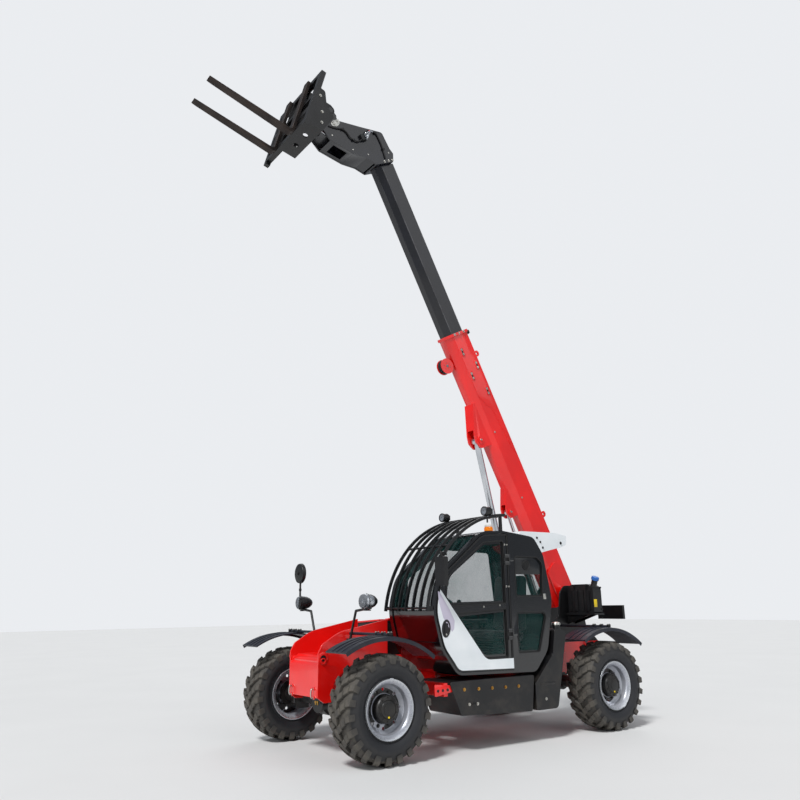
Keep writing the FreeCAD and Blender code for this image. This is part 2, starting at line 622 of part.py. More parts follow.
# Guard over the windscreen and roof: flat bars on one arc, tied by cross bars
guardArc = arcThrough((2945, 1490), (2610, 2215), (1700, 2620))
guardOuterY = size.cabOuterY - 10


def makeGuard():
    centre, radius, start, end = guardArc
    band = bandGeometry(centre, radius, size.guardDepth, start, end)
    low, high = size.cabInnerY + 20, guardOuterY - size.guardBar
    step = (high - low) / (size.guardCount - 1)
    pieces = [prism("guardBar%d" % index, "XZ_Plane", band, low + step * index, "Sizes.guardBar")
              for index in range(int(size.guardCount))]
    ties = [("tieLow", start + 1.5), ("tieMiddle", 0.55 * start + 0.45 * end),
            ("tieTop", 0.2 * start + 0.8 * end), ("tieEnd", end - 0.8)]
    for name, angle in ties:
        turn = math.radians(angle)
        reach = radius - size.guardDepth / 2
        x, z = centre[0] + reach * math.cos(turn), centre[1] + reach * math.sin(turn)
        pieces.append(rod(name, (x, low, z), (x, high + size.guardBar, z), 13))
    # Feet to the cab's nose and posts to its roof, trimmed to seat on the cab
    for index, y in enumerate((low, high)):
        pieces.append(block("guardFoot%d" % index, (2820, y, 1500), (2925, y + size.guardBar, 1540)))
        pieces.append(block("guardPost%d" % index, (1760, y, 2380), (1800, y + size.guardBar, 2600)))
        lampY = y + size.guardBar / 2
        pieces.append(rod("lampStem%d" % index, (1990, lampY, 2500), (1990, lampY, 2600), 10))
        pieces.append(rod("workLamp%d" % index, (1955, lampY, 2640), (2035, lampY, 2630), 52))
    return cut("roofGuard", fuse("guardPieces", pieces), [cabSolid("guardSeat")])


keep("roof_guard", makeGuard())

# Seat and steering column on the cab's floor
keep("seat", fuse("seatPieces", [
    prism("seatBase", "XZ_Plane", [(1460, cabFloor(1460)), (1760, cabFloor(1760)), (1760, 1130),
                                   (1460, 1130)],
          500, 380),
    prism("seatCushion", "XZ_Plane", [(1300, 1130, 40), (1840, 1130, 50), (1840, 1260, 50),
                                      (1300, 1230, 40)], 440, 500),
    prism("seatBack", "XZ_Plane", [(1250, 1200, 30), (1400, 1200, 40), (1330, 1900, 60),
                                   (1190, 1900, 60)], 450, 480),
]))


def makeSteering():
    # Dashboard, column and a ring wheel on three spokes.
    foot, hub = Vector(2560, 690, 1340), Vector(2350, 690, 1530)
    ringRadius, ringThickness = 185, 14
    tilt = Rotation(Vector(0, 0, 1), hub - foot)
    ring = doc.addObject("Part::Torus", "steeringRing")
    ring.Radius1, ring.Radius2 = ringRadius, ringThickness
    ring.Placement = Placement(hub, tilt)
    dashboard = [(2450, cabFloor(2450)), (2680, 1180, 60), (2700, 1390, 60), (2520, 1420, 50),
                 (2400, cabFloor(2400))]
    pieces = [ring, prism("dashboard", "XZ_Plane", dashboard, 400, 580), rod("steeringShaft", foot, hub, 28)]
    for angle in (90, 210, 330):
        turn = math.radians(angle)
        reach = tilt.multVec(Vector(ringRadius * math.cos(turn), ringRadius * math.sin(turn), 0))
        pieces.append(rod("spoke%d" % angle, hub, hub + reach, 9))
    return fuse("steeringPieces", pieces)


keep("steering_column", makeSteering())

# Tool box under the cab and the tank behind it
keep("side_box", prism("sideBox", "XZ_Plane", [(1450, 350, 30), (2530, 390, 40), (2690, 745, 30),
                                               (1400, 745, 20)],
                       boxInnerY, 560))
keep("side_tank", fuse("sideTank", [
    prism("tankBody", "XZ_Plane", [(1020, 350, 60), (1385, 350, 30), (1385, 640, 40), (1060, 960, 120),
                                   (1000, 1260, 40),
                                   (800, 1225, 60)], tankInnerY, 510),
    rod("tankFiller", (900, 1080, 1200), (900, 1080, 1300), 48)]))

# Engine bay on the side away from the cab
hoodProfile = [(size.hoodInnerY, size.hoodTop), (size.hoodOuterY + 150, size.hoodTop - 40),
               (size.hoodOuterY, size.hoodTop - 190), (size.hoodOuterY - 10, size.hoodSplit)]
hoodHingeRadius = 10
hoodHingeY, hoodHingeZ = size.hoodInnerY + hoodHingeRadius + 6, size.hoodTop + 2
lidKnuckles = [(1000, 1080), (1130, 1210), (2300, 2380), (2430, 2510)]
bayKnuckles = [(1084, 1126), (2384, 2426)]

def makeHoodBody():
    wall = size.sheetThickness
    bayLength = size.hoodFrontX - size.hoodRearX
    gap = size.sheetThickness + size.runningGap
    endOutline = [(size.hoodInnerY, size.hoodBottom), (size.hoodInnerY, size.hoodTop - gap),
                  (size.hoodOuterY + 160, size.hoodTop - 40 - gap),
                  (size.hoodOuterY + gap, size.hoodTop - 200),
                  (size.hoodOuterY + gap, size.hoodSplit - 20), (size.hoodOuterY, size.hoodSplit - 20),
                  (size.hoodOuterY, size.hoodBottom + 120), (size.hoodOuterY + 120, size.hoodBottom)]
    solid = prism("hoodSolid", "YZ_Plane", endOutline, size.hoodRearX, bayLength)
    bay = [(size.hoodInnerY - wall, size.hoodBottom + wall), (size.hoodInnerY - wall, size.hoodTop + 50),
           (size.hoodOuterY - 20, size.hoodTop + 50), (size.hoodOuterY - 20, size.hoodSplit - 60),
           (size.hoodOuterY + wall, size.hoodSplit - 60), (size.hoodOuterY + wall, size.hoodBottom + 125),
           (size.hoodOuterY + 125, size.hoodBottom + wall)]
    shell = cut("hoodShell", solid, [prism("hoodBay", "YZ_Plane", bay, size.hoodRearX + wall,
                                           bayLength - 2 * wall)])
    pieces = [shell]
    for index, (x0, x1) in enumerate(bayKnuckles):
        foot, neck = size.hoodTop - 100, size.hoodTop - 32
        reach = hoodHingeY + hoodHingeRadius - 2
        pieces.append(block("hingeFoot%d" % index, (x0, size.hoodInnerY, foot), (x1, reach, neck)))
        pieces.append(block("hingeNeck%d" % index, (x0, hoodHingeY - 8, neck), (x1, reach, hoodHingeZ)))
        pieces.append(rod("bayKnuckle%d" % index, (x0, hoodHingeY, hoodHingeZ), (x1, hoodHingeY, hoodHingeZ),
                          hoodHingeRadius))
    return fuse("hoodBody", pieces)


def makeHoodLid():
    wall = size.sheetThickness
    inner = [(hoodProfile[3][0] + wall, size.hoodSplit), (hoodProfile[2][0] + wall, hoodProfile[2][1] - 6),
             (hoodProfile[1][0] + 8, hoodProfile[1][1] - wall), (hoodProfile[0][0], hoodProfile[0][1] - wall)]
    skin = prism("lidSkin", "YZ_Plane", hoodProfile + inner, size.hoodRearX - 4,
                 size.hoodFrontX - size.hoodRearX + 8)
    pieces = [skin]
    for index, (x0, x1) in enumerate(lidKnuckles):
        pieces.append(block("lidStrap%d" % index, (x0, size.hoodInnerY - 50, size.hoodTop - 6),
                            (x1, hoodHingeY, size.hoodTop + 6)))
        pieces.append(rod("lidKnuckle%d" % index, (x0, hoodHingeY, hoodHingeZ), (x1, hoodHingeY, hoodHingeZ),
                          hoodHingeRadius))
    return fuse("hoodLid", pieces)


keep("hood_body", makeHoodBody())
keep("hood_lid", makeHoodLid())
engineFoot = size.hoodBottom + size.sheetThickness
keep("engine", prism("engineBlock", "XZ_Plane", [(1150, engineFoot), (2250, engineFoot), (2250, 1180),
                                                 (1150, 1180)],
                     -950, 530))

# Rear: counterweight with a towing clevis
hitchX = size.counterweightX - 70
keep("counterweight", cut("counterweightPiece", fuse("counterweightPieces", [
    prism("weightBlock", "XY_Plane", [(size.counterweightX, -500, 60), (size.counterweightX, 500, 60),
                                      (-901, 560),
                                      (-901, -560)], 560, 460),
    block("hitchTop", (size.counterweightX - 110, -60, 760), (size.counterweightX + 10, 60, 785)),
    block("hitchLow", (size.counterweightX - 110, -60, 675), (size.counterweightX + 10, 60, 700))]),
    [rod("hitchBore", (hitchX, 0, 600), (hitchX, 0, 850), "Sizes.hitchBoreRadius")]))


def makeRearLamp(side):
    # Lamp box on an arm that lies on the tower's side plate.
    name = "rearLamp" + ("Left" if side > 0 else "Right")
    armEdges = sorted((side * size.frameHalfWidth, side * (size.frameHalfWidth + 27)))
    boxEdges = sorted((side * (size.frameHalfWidth + 7), side * 690))
    return fuse(name, [block(name + "Arm", (-905, armEdges[0], 1400), (-480, armEdges[1], 1450)),
                       block(name + "Box", (-940, boxEdges[0], 1330), (-900, boxEdges[1], 1520))])


def makeFluidTank():
    # Flat upright tank with ribs on its front, on a tray and two gussets beside the tower.
    x0, x1 = -420, -250
    foot, top = 1420, 1810
    plateY = size.frameHalfWidth
    innerY = plateY + 32
    body = [(innerY, foot, 25), (730, foot, 25), (730, top - 50, 70), (640, top, 60), (innerY + 68, top, 70),
            (innerY, top - 60, 50)]
    pieces = [prism("fluidBody", "YZ_Plane", body, x0, x1 - x0),
              block("fluidTray", (x0 - 15, plateY, foot - 25), (x1 + 15, 745, foot)),
              rod("fluidNeck", ((x0 + x1) / 2, 665, top - 60), ((x0 + x1) / 2, 712, top + 62), 42)]
    for index in range(4):
        rib = 290 + 105 * index
        pieces.append(prism("fluidRib%d" % index, "YZ_Plane",
                            [(rib, foot + 30, 20), (rib + 62, foot + 30, 20),
                                                               (rib + 62, top - 75, 20), (rib, top - 75, 20)],
                            x1 - 5, 17))
    for index, x in enumerate((x0, x1 - 12)):
        pieces.append(prism("fluidGusset%d" % index, "YZ_Plane", [(plateY, foot - 150), (640, foot - 25),
                                                                  (plateY, foot - 25)], x, 12))
    return fuse("fluidTank", pieces)


keep("fluid_tank", makeFluidTank())


# Fenders: arched strip with raised ribs and an outer lip, on a tube from the frame

def makeFender(name, axleX, side, tubeStart):
    centre, radius, start, end = arcThrough((axleX + 545, 1105), (axleX - 20, 1240), (axleX - 580, 1030))
    middleY = side * size.trackWidth / 2
    low = middleY - size.fenderWidth / 2
    # Strips: name, radius added, depth, first and last y from the fender's middle
    halfWidth = size.fenderWidth / 2
    strips = [("Skin", 0, size.fenderThickness, -halfWidth, halfWidth),
              ("RibA", 8, 10, -110, -70), ("RibB", 8, 10, -20, 20), ("RibC", 8, 10, 70, 110),
              ("LipOut", 0, size.fenderLip, side * halfWidth - (8 if side > 0 else 0),
               side * halfWidth + (0 if side > 0 else 8))]
    pieces = [prism(name + label, "XZ_Plane", bandGeometry(centre, radius + more, depth, start, end),
                    middleY + y0, y1 - y0) for label, more, depth, y0, y1 in strips]
    tubeX, tubeZ = axleX - 60, 1240 + size.fenderTubeRadius
    pieces.append(rod(name + "Tube", (tubeX, side * tubeStart, tubeZ), (tubeX, middleY + side * 60, tubeZ),
                      "Sizes.fenderTubeRadius"))
    return fuse(name, pieces)


keep("fenders", gather("fenderSet", [
    makeFender("fenderFrontLeft", size.wheelbase, 1, size.noseHalfWidth),
    makeFender("fenderFrontRight", size.wheelbase, -1, size.noseHalfWidth),
    makeFender("fenderRearLeft", 0, 1, size.frameHalfWidth),
    makeFender("fenderRearRight", 0, -1, size.frameHalfWidth)]))


# Lamps and mirrors on bent tubes

def tubeAlong(name, points, radius):
    pieces = [rod("%s%d" % (name, index), points[index], points[index + 1], radius)
              for index in range(len(points) - 1)]
    joints = []
    for index, point in enumerate(points[1:-1]):
        ball = doc.addObject("Part::Sphere", "%sBend%d" % (name, index))
        ball.Radius = radius
        ball.Placement.Base = Vector(*point)
        joints.append(ball)
    return pieces + joints


def makeLampStalk(name, side):
    outer = side * size.noseHalfWidth
    lampX = size.wheelbase - 20
    path = [(lampX, outer, 1190), (lampX, outer + side * 60, 1190), (lampX, outer + side * 180, 1500),
            (lampX, outer + side * 480, 1530)]
    pieces = tubeAlong(name, path, 14)
    lampY = outer + side * 400
    pieces.append(rod(name + "Stem", (lampX, lampY, 1520), (lampX, lampY, 1580), 10))
    pieces.append(rod(name + "Lamp", (lampX - 40, lampY, 1600), (lampX + 60, lampY, 1600), 72))
    if side < 0:
        mirrorY = outer + side * 470
        pieces += tubeAlong(name + "Post", [(lampX, mirrorY, 1530), (lampX, mirrorY, 2080)], 12)
        pieces.append(rod(name + "Mirror", (lampX - 10, mirrorY, 1960), (lampX + 20, mirrorY, 1960), 120))
    return fuse(name, pieces)


keep("lamps", gather("lampSet", [makeLampStalk("stalkLeft", 1), makeLampStalk("stalkRight", -1),
                                 makeRearLamp(1), makeRearLamp(-1)]))


def makeCabMirror():
    # Mirror on an arm whose foot lies on the guard's outer bar.
    centre, radius = guardArc[:2]
    armZ = 2115
    footX = centre[0] + math.sqrt((radius - size.guardDepth / 2) ** 2 - (armZ - centre[1]) ** 2)
    armX, armY = 2820, size.cabOuterY + 110
    shell = [(armY - 80, 1750, 25), (armY + 80, 1750, 25), (armY + 80, 2070, 25), (armY - 80, 2070, 25)]
    return fuse("cabMirror", [
        prism("mirrorShell", "YZ_Plane", shell, armX - 30, 60),
        block("mirrorFoot", (footX - 20, guardOuterY, armZ - 20), (footX + 20, guardOuterY + 16, armZ + 20)),
        rod("mirrorArm", (footX, guardOuterY + 14, armZ), (armX, armY, armZ), 11),
        rod("mirrorDrop", (armX, armY, 2050), (armX, armY, armZ + 11), 11)])


keep("cab_mirror", makeCabMirror())


# Boom, drawn along its own length: u from the pivot, w upwards, and turned up by boomAngle

def beamSection(halfWidth, top, side, low, lowHalf):
    # Cross-section (y, w): flat top, upright sides, wide chamfers and a narrow underside.
    return [(-halfWidth, top), (-halfWidth, side), (-lowHalf, low), (lowHalf, low), (halfWidth, side),
            (halfWidth, top)]


outerSection = beamSection(size.boomHalfWidth, size.boomTop, size.boomSide, size.boomLow, size.boomLowHalf)
stageSection = beamSection(size.stageHalfWidth, size.stageTop, size.stageSide, size.stageLow,
                           size.stageLowHalf)


def eyeBracket(name, eyeU, eyeW, foot, radius, halfGap, thickness):
    # Box under the boom for a cylinder's eye: two cheeks, and a front plate that runs down from its foot.
    root = size.boomLow + 40
    outline = [(eyeU - 1.4 * radius, root), (eyeU - 1.2 * radius, eyeW - 0.5 * radius, 0.6 * radius),
               (eyeU, eyeW - radius, 0.4 * radius), (eyeU + 1.1 * radius, eyeW - 0.7 * radius, 0.5 * radius),
               (eyeU + foot, size.boomLow), (eyeU + foot, root)]
    pieces = [prism(name + side, "XZ_Plane", outline, low, thickness)
              for side, low in (("Left", halfGap), ("Right", -halfGap - thickness))]
    plate = [(eyeU + 1.75 * radius, eyeW - 0.35 * radius), (eyeU + foot, size.boomLow), (eyeU + foot, root),
             (eyeU + foot - 40, root), (eyeU + 1.6 * radius, eyeW - 0.2 * radius)]
    pieces.append(prism(name + "Front", "XZ_Plane", plate, -halfGap, 2 * halfGap))
    for side in (1, -1):
        face = side * (halfGap + thickness)
        pieces.append(rod("%sBoss%d" % (name, side), (eyeU, face - side * 10, eyeW),
                          (eyeU, face + side * 12, eyeW),
                          0.55 * radius))
    return pieces


def liftingRing(name, u):
    ring = [(u - 45, size.boomTop - 20), (u + 45, size.boomTop - 20), (u + 45, size.boomTop + 72, 44),
            (u - 45, size.boomTop + 72, 44)]
    return prism(name, "XZ_Plane", ring, size.boomHalfWidth - 30, 25, [(u, size.boomTop + 27, 21)])


def makeBoomOuter():
    rootU = -120
    gearU = size.boomLength - 390
    outer = prism("boomOuterBeam", "YZ_Plane", outerSection, rootU, size.boomLength - rootU)
    inner = prism("boomOuterInside", "YZ_Plane", inset(outerSection, size.boomWall), rootU - 10,
                  size.boomLength - rootU + 20)
    collar = prism("boomCollar", "YZ_Plane", inset(outerSection, -size.collarLip),
                   size.boomLength - size.collarLength, "Sizes.collarLength")
    pieces = [outer, collar, liftingRing("ringLow", 1150), liftingRing("ringHigh", gearU)]
    pieces += eyeBracket("liftBracket", size.liftEyeU, size.liftEyeW, 510, 95, 62, 26)
    pieces += eyeBracket("levelBracket", size.levelEyeU, size.levelEyeW, 330, 70, 40, 22)
    # Cheek plates that stiffen the root round the pivot
    cheek = [(rootU + 10, -150, 50), (420, -150, 60), (480, 60, 90), (330, 190, 70), (rootU + 10, 190, 60)]
    for name, start in (("Left", size.boomHalfWidth), ("Right", -size.boomHalfWidth - 16)):
        pieces.append(prism("rootCheek" + name, "XZ_Plane", cheek, start, 16))
    # Reel for the head's cable, on an ear under the beam
    reelW = size.boomLow - 135
    for side in (1, -1):
        pieces.append(rod("reelFlange%d" % side, (gearU, side * 42, reelW), (gearU, side * 52, reelW), 112))
    pieces.append(rod("reelDrum", (gearU, -52, reelW), (gearU, 52, reelW), 70))
    pieces.append(block("reelEar", (gearU - 40, -20, reelW), (gearU + 40, 20, size.boomLow + 6)))
    shell = cut("boomShell", fuse("boomShellPieces", pieces), [inner])
    boss = rod("boomBoss", (0, -205, 0), (0, 205, 0), size.boomPinRadius + 45)
    bore = rod("boomBore", (0, -300, 0), (0, 300, 0), size.boomPinRadius + size.pinClearance)
    return cut("boomOuter", fuse("boomOuterPieces", [shell, boss]), [bore])


def makeStage():
    outer = prism("stageBeam", "YZ_Plane", stageSection, size.stageStart, size.stageEnd - size.stageStart)
    inner = prism("stageInside", "YZ_Plane", inset(stageSection, size.boomWall), size.stageStart - 10,
                  size.stageEnd - size.stageStart + 20)
    return cut("stageShell", outer, [inner])


# Head outline (u, w, corner radius) from the neck's underside round the carriage pivot to the top
headOutline = [(6702, -190), (6815, -320, 60), (6905, -515, 80), (7140, -815, 40), (7300, -870, 60),
               (7480, -860, 80), (7640, -720, 90), (7620, -600, 70), (7470, -548, 25), (7401, -575, 45),
               (7276, -228, 60), (7150, 138, 50), (6896, 160, 40), (6820, 190, 30), (6702, 130)]


def strip(first, last, halfThickness):
    # Outline of a flat skin that runs from one point (u, w) to another.
    (u0, w0), (u1, w1) = first, last
    length = math.hypot(u1 - u0, w1 - w0)
    du, dw = -(w1 - w0) / length * halfThickness, (u1 - u0) / length * halfThickness
    return [(u0 + du, w0 + dw), (u0 - du, w0 - dw), (u1 - du, w1 - dw), (u1 + du, w1 + dw)]


def makeHead():
    half, plate = size.headHalfWidth, size.headPlate
    sides = [prism("headLeft", "XZ_Plane", headOutline, half - plate, "Sizes.headPlate"),
             prism("headRight", "XZ_Plane", headOutline, -half, "Sizes.headPlate")]
    # Skins between the side plates: name, first and second corner (u, w)
    skins = [("headTop", (6730, 128), (7142, 124)), ("headNose", (7142, 124), (7263, -228)),
             ("headBrow", (7263, -228), (7365, -510)), ("headThroat", (6735, -209), (6826, -314)),
             ("headBelly", (6826, -314), (6915, -509)), ("headChin", (6915, -509), (7145, -803))]
    pieces = [prism(name, "XZ_Plane", strip(first, last, 8), plate - half, 2 * (half - plate))
              for name, first, last in skins]
    pieces.append(prism("headBack", "YZ_Plane", [(-half, -185), (half, -185), (half, 128), (-half, 128)],
                        size.stageEnd, 24))
    for name, u, w, radius in (("headPin", size.headPivotU, size.headPivotW, "Sizes.headPinRadius"),
                               ("tiltPin", size.tiltPinU, size.tiltPinW, "Sizes.tiltPinRadius")):
        pieces.append(rod(name, (u, -half - 44, w),
                          (u, half + 44, w) if name == "headPin" else (u, half, w), radius))
    # Hand opening in the chin, to reach the tilt cylinder's hoses
    opening = prism("chinOpening", "XZ_Plane", strip((6960, -566), (7095, -739), 30), -95, 190)
    return cut("boomHead", fuse("headPieces", sides + pieces), [opening])


boomBase = (size.boomPivotX, 0, size.boomPivotZ)
keep("boom_outer", makeBoomOuter(), boomBase, size.boomAngle)
keep("boom_stage", makeStage(), boomBase, size.boomAngle)
keep("boom_head", makeHead(), boomBase, size.boomAngle)


def onBoom(u, w):
    # A point of the boom's own frame, as machine x and z.
    turn = math.radians(size.boomAngle)
    return (size.boomPivotX + u * math.cos(turn) - w * math.sin(turn),
            size.boomPivotZ + u * math.sin(turn) + w * math.cos(turn))


# Carriage and forks, drawn about the head's pivot pin with the forks level

def makeCarriage():
    half = size.carriageWidth / 2
    x0, x1 = size.carriageX, size.carriageX + size.carriageDepth
    top, bottom = size.carriageTop, size.carriageBottom
    # Frame bars: name, low corner and high corner in y and z
    bars = [("rightPost", -half, bottom, -half + 70, top), ("leftPost", half - 70, bottom, half, top),
            ("upperBeam", -half, top - 76, half, top), ("middleBeam", -half, -330, half, -270),
            ("lowerBeam", -half, -560, half, -470), ("rightSlat", -170, bottom + 60, -120, top),
            ("leftSlat", 120, bottom + 60, 170, top), ("footBeam", -half, bottom + 40, half, bottom + 110)]
    pieces = [block(name, (x0, y0, z0), (x1, y1, z1)) for name, y0, z0, y1, z1 in bars]
    # Coupler behind the frame: cheeks, floor and the lugs on the head's pin
    wide = size.couplerHalfWidth
    cheek = [(70, -540), (x0 + 5, -548), (x0 + 5, 60), (205, 52, 40), (134, -126, 30), (60, -190, 40),
             (-20, -250, 30)]
    floor = [(78, -560), (x0 + 5, -568), (x0 + 5, -548), (80, -540)]
    lug = [(-75, 0, 70), (0, -75, 60), (x0 + 5, -330), (x0 + 5, 60), (0, 80, 60)]
    # Ears for the tilt cylinder's eye, straight under the pivot
    ear = [(-52, -size.tiltArm - 52, 50), (x0 + 5, -400), (x0 + 5, -280), (60, 52 - size.tiltArm, 60),
           (-52, 52 - size.tiltArm, 50)]
    earInside, earThickness = 62, 22
    pieces.append(prism("couplerFloor", "XZ_Plane", floor, -wide, 2 * wide))
    for side in (1, -1):
        name = "Left" if side > 0 else "Right"
        pieces.append(prism("cheek" + name, "XZ_Plane", cheek, min(side * wide, side * (wide - 25)), 25))
        pieces.append(prism("lug" + name, "XZ_Plane", lug, min(side * 172, side * 202), 30))
        face = side * (earInside + earThickness)
        pieces.append(prism("ear" + name, "XZ_Plane", ear, min(side * earInside, face), earThickness))
        pieces.append(rod("earBoss" + name, (0, face - side * 8, -size.tiltArm),
                          (0, face + side * 12, -size.tiltArm), 34))
    bores = [rod("carriageBore", (0, -260, 0), (0, 260, 0), size.headPinRadius + size.pinClearance)]
    bores += [rod("floorHole%d" % index, (200, y, -620), (200, y, -500), 38) for index,
              y in enumerate((-130, 130))]
    return cut("carriageFrame", fuse("carriagePieces", pieces), bores)


def makeForks():
    heelX = size.carriageX + size.carriageDepth + 1
    thick = size.forkThickness
    low = size.carriageBottom - 3
    outline = [(heelX, low + 40, 30), (heelX + 40, low, 30), (heelX + size.forkLength - 60, low + 26),
               (heelX + size.forkLength, low + 32), (heelX + size.forkLength, low + 40),
               (heelX + thick + 20, low + thick, 20), (heelX + thick, low + thick + 20, 8),
               (heelX + thick, size.carriageTop - 20), (heelX, size.carriageTop - 20)]
    return gather("forkPair", [prism(name, "XZ_Plane", outline, y - size.forkWidth / 2, "Sizes.forkWidth")
                               for name, y in (("forkLeft", size.forkSpacing / 2),
                                               ("forkRight", -size.forkSpacing / 2))])


headPivotX, headPivotZ = onBoom(size.headPivotU, size.headPivotW)
carriageBase = (headPivotX, 0, headPivotZ)
keep("carriage", makeCarriage(), carriageBase, size.forkAngle)
keep("forks", makeForks(), carriageBase, size.forkAngle)


# Cylinders, drawn along their own length from the lower pin

def makeCylinder(name, pin, eye, pinRadius, eyeRadius, barrelRadius, rodRadius, barrelLength, eyeWidth,
                 strokeIn):
    # Barrel with its pin eye, and rod with its eye, as two sub-parts; the rod can slide in by strokeIn.
    length = math.dist(pin, eye)
    angle = math.degrees(math.atan2(eye[1] - pin[1], eye[0] - pin[0]))
    half = eyeWidth / 2
    boreStart = pinRadius + 60
    barrel = cut(name + "Barrel", fuse(name + "BarrelPieces", [
        rod(name + "Tube", (pinRadius, 0, 0), (barrelLength, 0, 0), barrelRadius),
        rod(name + "Gland", (barrelLength - 70, 0, 0), (barrelLength, 0, 0), barrelRadius + 8),
        rod(name + "PinEye", (0, -half, 0), (0, half, 0), pinRadius + 24)]),
        [rod(name + "PinBore", (0, -half - 1, 0), (0, half + 1, 0), pinRadius + size.pinClearance),
         rod(name + "RodBore", (boreStart, 0, 0), (barrelLength + 1, 0, 0), rodRadius + size.pinClearance)])
    piston = fuse(name + "Rod", [
        rod(name + "Shaft", (boreStart + strokeIn, 0, 0), (length - 0.5 * eyeRadius, 0, 0), rodRadius),
        rod(name + "RodEye", (length, -half, 0), (length, half, 0), eyeRadius)])
    base = (pin[0], 0, pin[1])
    keep(name + "_cylinder", barrel, base, angle)
    keep(name + "_rod", piston, base, angle)


makeCylinder("lift", (size.liftPinX, size.liftPinZ), onBoom(size.liftEyeU, size.liftEyeW),
             size.liftPinRadius, 60,
             size.liftBarrelRadius, size.liftRodRadius, size.liftBarrelLength, 104, 1286)
makeCylinder("level", (size.levelPinX, size.levelPinZ), onBoom(size.levelEyeU, size.levelEyeW),
             size.levelPinRadius, 44,
             size.levelBarrelRadius, size.levelRodRadius, size.levelBarrelLength, 60, 712)
armTurn = math.radians(size.boomAngle + size.tiltArmAngle)
makeCylinder("tilt", onBoom(size.tiltPinU, size.tiltPinW),
             (headPivotX + size.tiltArm * math.cos(armTurn), headPivotZ + size.tiltArm * math.sin(armTurn)),
             size.tiltPinRadius, 42, size.tiltBarrelRadius, size.tiltRodRadius, size.tiltBarrelLength, 70, 170)

doc.recompute()
for thing in doc.Objects:
    if "Invalid" in thing.State or "Error" in thing.State:
        raise RuntimeError("%s did not rebuild" % thing.Label)
os.makedirs("parts", exist_ok=True)
for label, piece in nodes.items():
    shape = piece.Shape
    if shape.isNull() or not shape.isValid() or not shape.Solids:
        raise RuntimeError("%s has no sound solid" % label)
    shape.exportStep("parts/%s.step" % label)
    print("%-22s solids %2d  volume %8.4f m3" % (label, len(shape.Solids), shape.Volume / 1e9))
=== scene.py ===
import bmesh
import bpy
import json
import math
import random
from mathutils import Matrix, Vector

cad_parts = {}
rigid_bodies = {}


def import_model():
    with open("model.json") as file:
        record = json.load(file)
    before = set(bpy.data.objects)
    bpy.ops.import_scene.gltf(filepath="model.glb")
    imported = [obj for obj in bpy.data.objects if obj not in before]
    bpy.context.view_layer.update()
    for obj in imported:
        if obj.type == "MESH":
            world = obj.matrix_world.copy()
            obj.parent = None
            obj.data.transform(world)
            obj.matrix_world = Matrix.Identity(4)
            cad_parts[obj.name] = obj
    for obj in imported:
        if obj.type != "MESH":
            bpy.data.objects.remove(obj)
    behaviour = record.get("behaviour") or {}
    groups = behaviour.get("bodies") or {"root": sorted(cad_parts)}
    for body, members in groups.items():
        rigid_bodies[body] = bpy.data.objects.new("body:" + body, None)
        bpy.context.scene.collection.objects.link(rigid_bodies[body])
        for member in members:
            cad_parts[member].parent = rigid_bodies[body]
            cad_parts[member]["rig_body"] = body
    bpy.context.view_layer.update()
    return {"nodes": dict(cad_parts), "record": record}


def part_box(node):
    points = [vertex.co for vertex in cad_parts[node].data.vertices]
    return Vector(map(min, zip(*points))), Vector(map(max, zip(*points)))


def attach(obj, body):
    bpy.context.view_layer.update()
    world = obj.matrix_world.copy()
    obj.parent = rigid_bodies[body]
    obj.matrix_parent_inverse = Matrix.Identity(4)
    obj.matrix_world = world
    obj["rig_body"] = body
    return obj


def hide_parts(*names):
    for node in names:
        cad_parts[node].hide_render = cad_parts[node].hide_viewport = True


# Telehandler with its boom up: finishes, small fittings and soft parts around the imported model.

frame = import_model()
random.seed(11)
nodeObjects = frame["nodes"]
boxLow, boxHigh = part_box("tyre_rear_left")
rearAxleX = (boxLow.x + boxHigh.x) / 2      # machine points below count x from here


def at(x, y, z):
    # A machine point, x from the rear axle, as a point of the frame.
    return Vector((x + rearAxleX, y, z))


boomRoot = {"x": -0.33, "z": 1.69, "angle": 62.5}
boomTurn = math.radians(boomRoot["angle"])
boomAlong = Vector((math.cos(boomTurn), 0, math.sin(boomTurn)))
boomUp = Vector((-math.sin(boomTurn), 0, math.cos(boomTurn)))


def onBoom(u, y, w):
    # A point of the boom: u along it from its pivot, y to the left, w up off its centre line.
    return at(boomRoot["x"], y, boomRoot["z"]) + boomAlong * u + boomUp * w


headPivot = {"u": 7.538, "w": -0.642}
forkTurn = math.radians(14.9)
forkAlong = Vector((math.cos(forkTurn), 0, math.sin(forkTurn)))
forkUp = Vector((-math.sin(forkTurn), 0, math.cos(forkTurn)))


def onCarriage(x, y, z):
    # A point of the carriage, from the head's pivot pin with the forks level.
    return onBoom(headPivot["u"], 0, headPivot["w"]) + forkAlong * x + Vector((0, y, 0)) + forkUp * z


# Shader maths as Python expressions

class Wire:
    def __init__(self, graph, socket):
        self.graph, self.socket = graph, socket

    def maths(self, operation, *values, clamp=False):
        settings = {"operation": operation, "use_clamp": clamp}
        return self.graph.make("ShaderNodeMath", settings, dict(enumerate(values)))

    def __add__(self, other):
        return self.maths("ADD", self, other)

    def __rsub__(self, other):
        return self.maths("SUBTRACT", other, self)

    def __mul__(self, other):
        return self.maths("MULTIPLY", self, other)

    __radd__, __rmul__ = __add__, __mul__

    def clamped(self):
        return self.maths("ADD", self, 0.0, clamp=True)


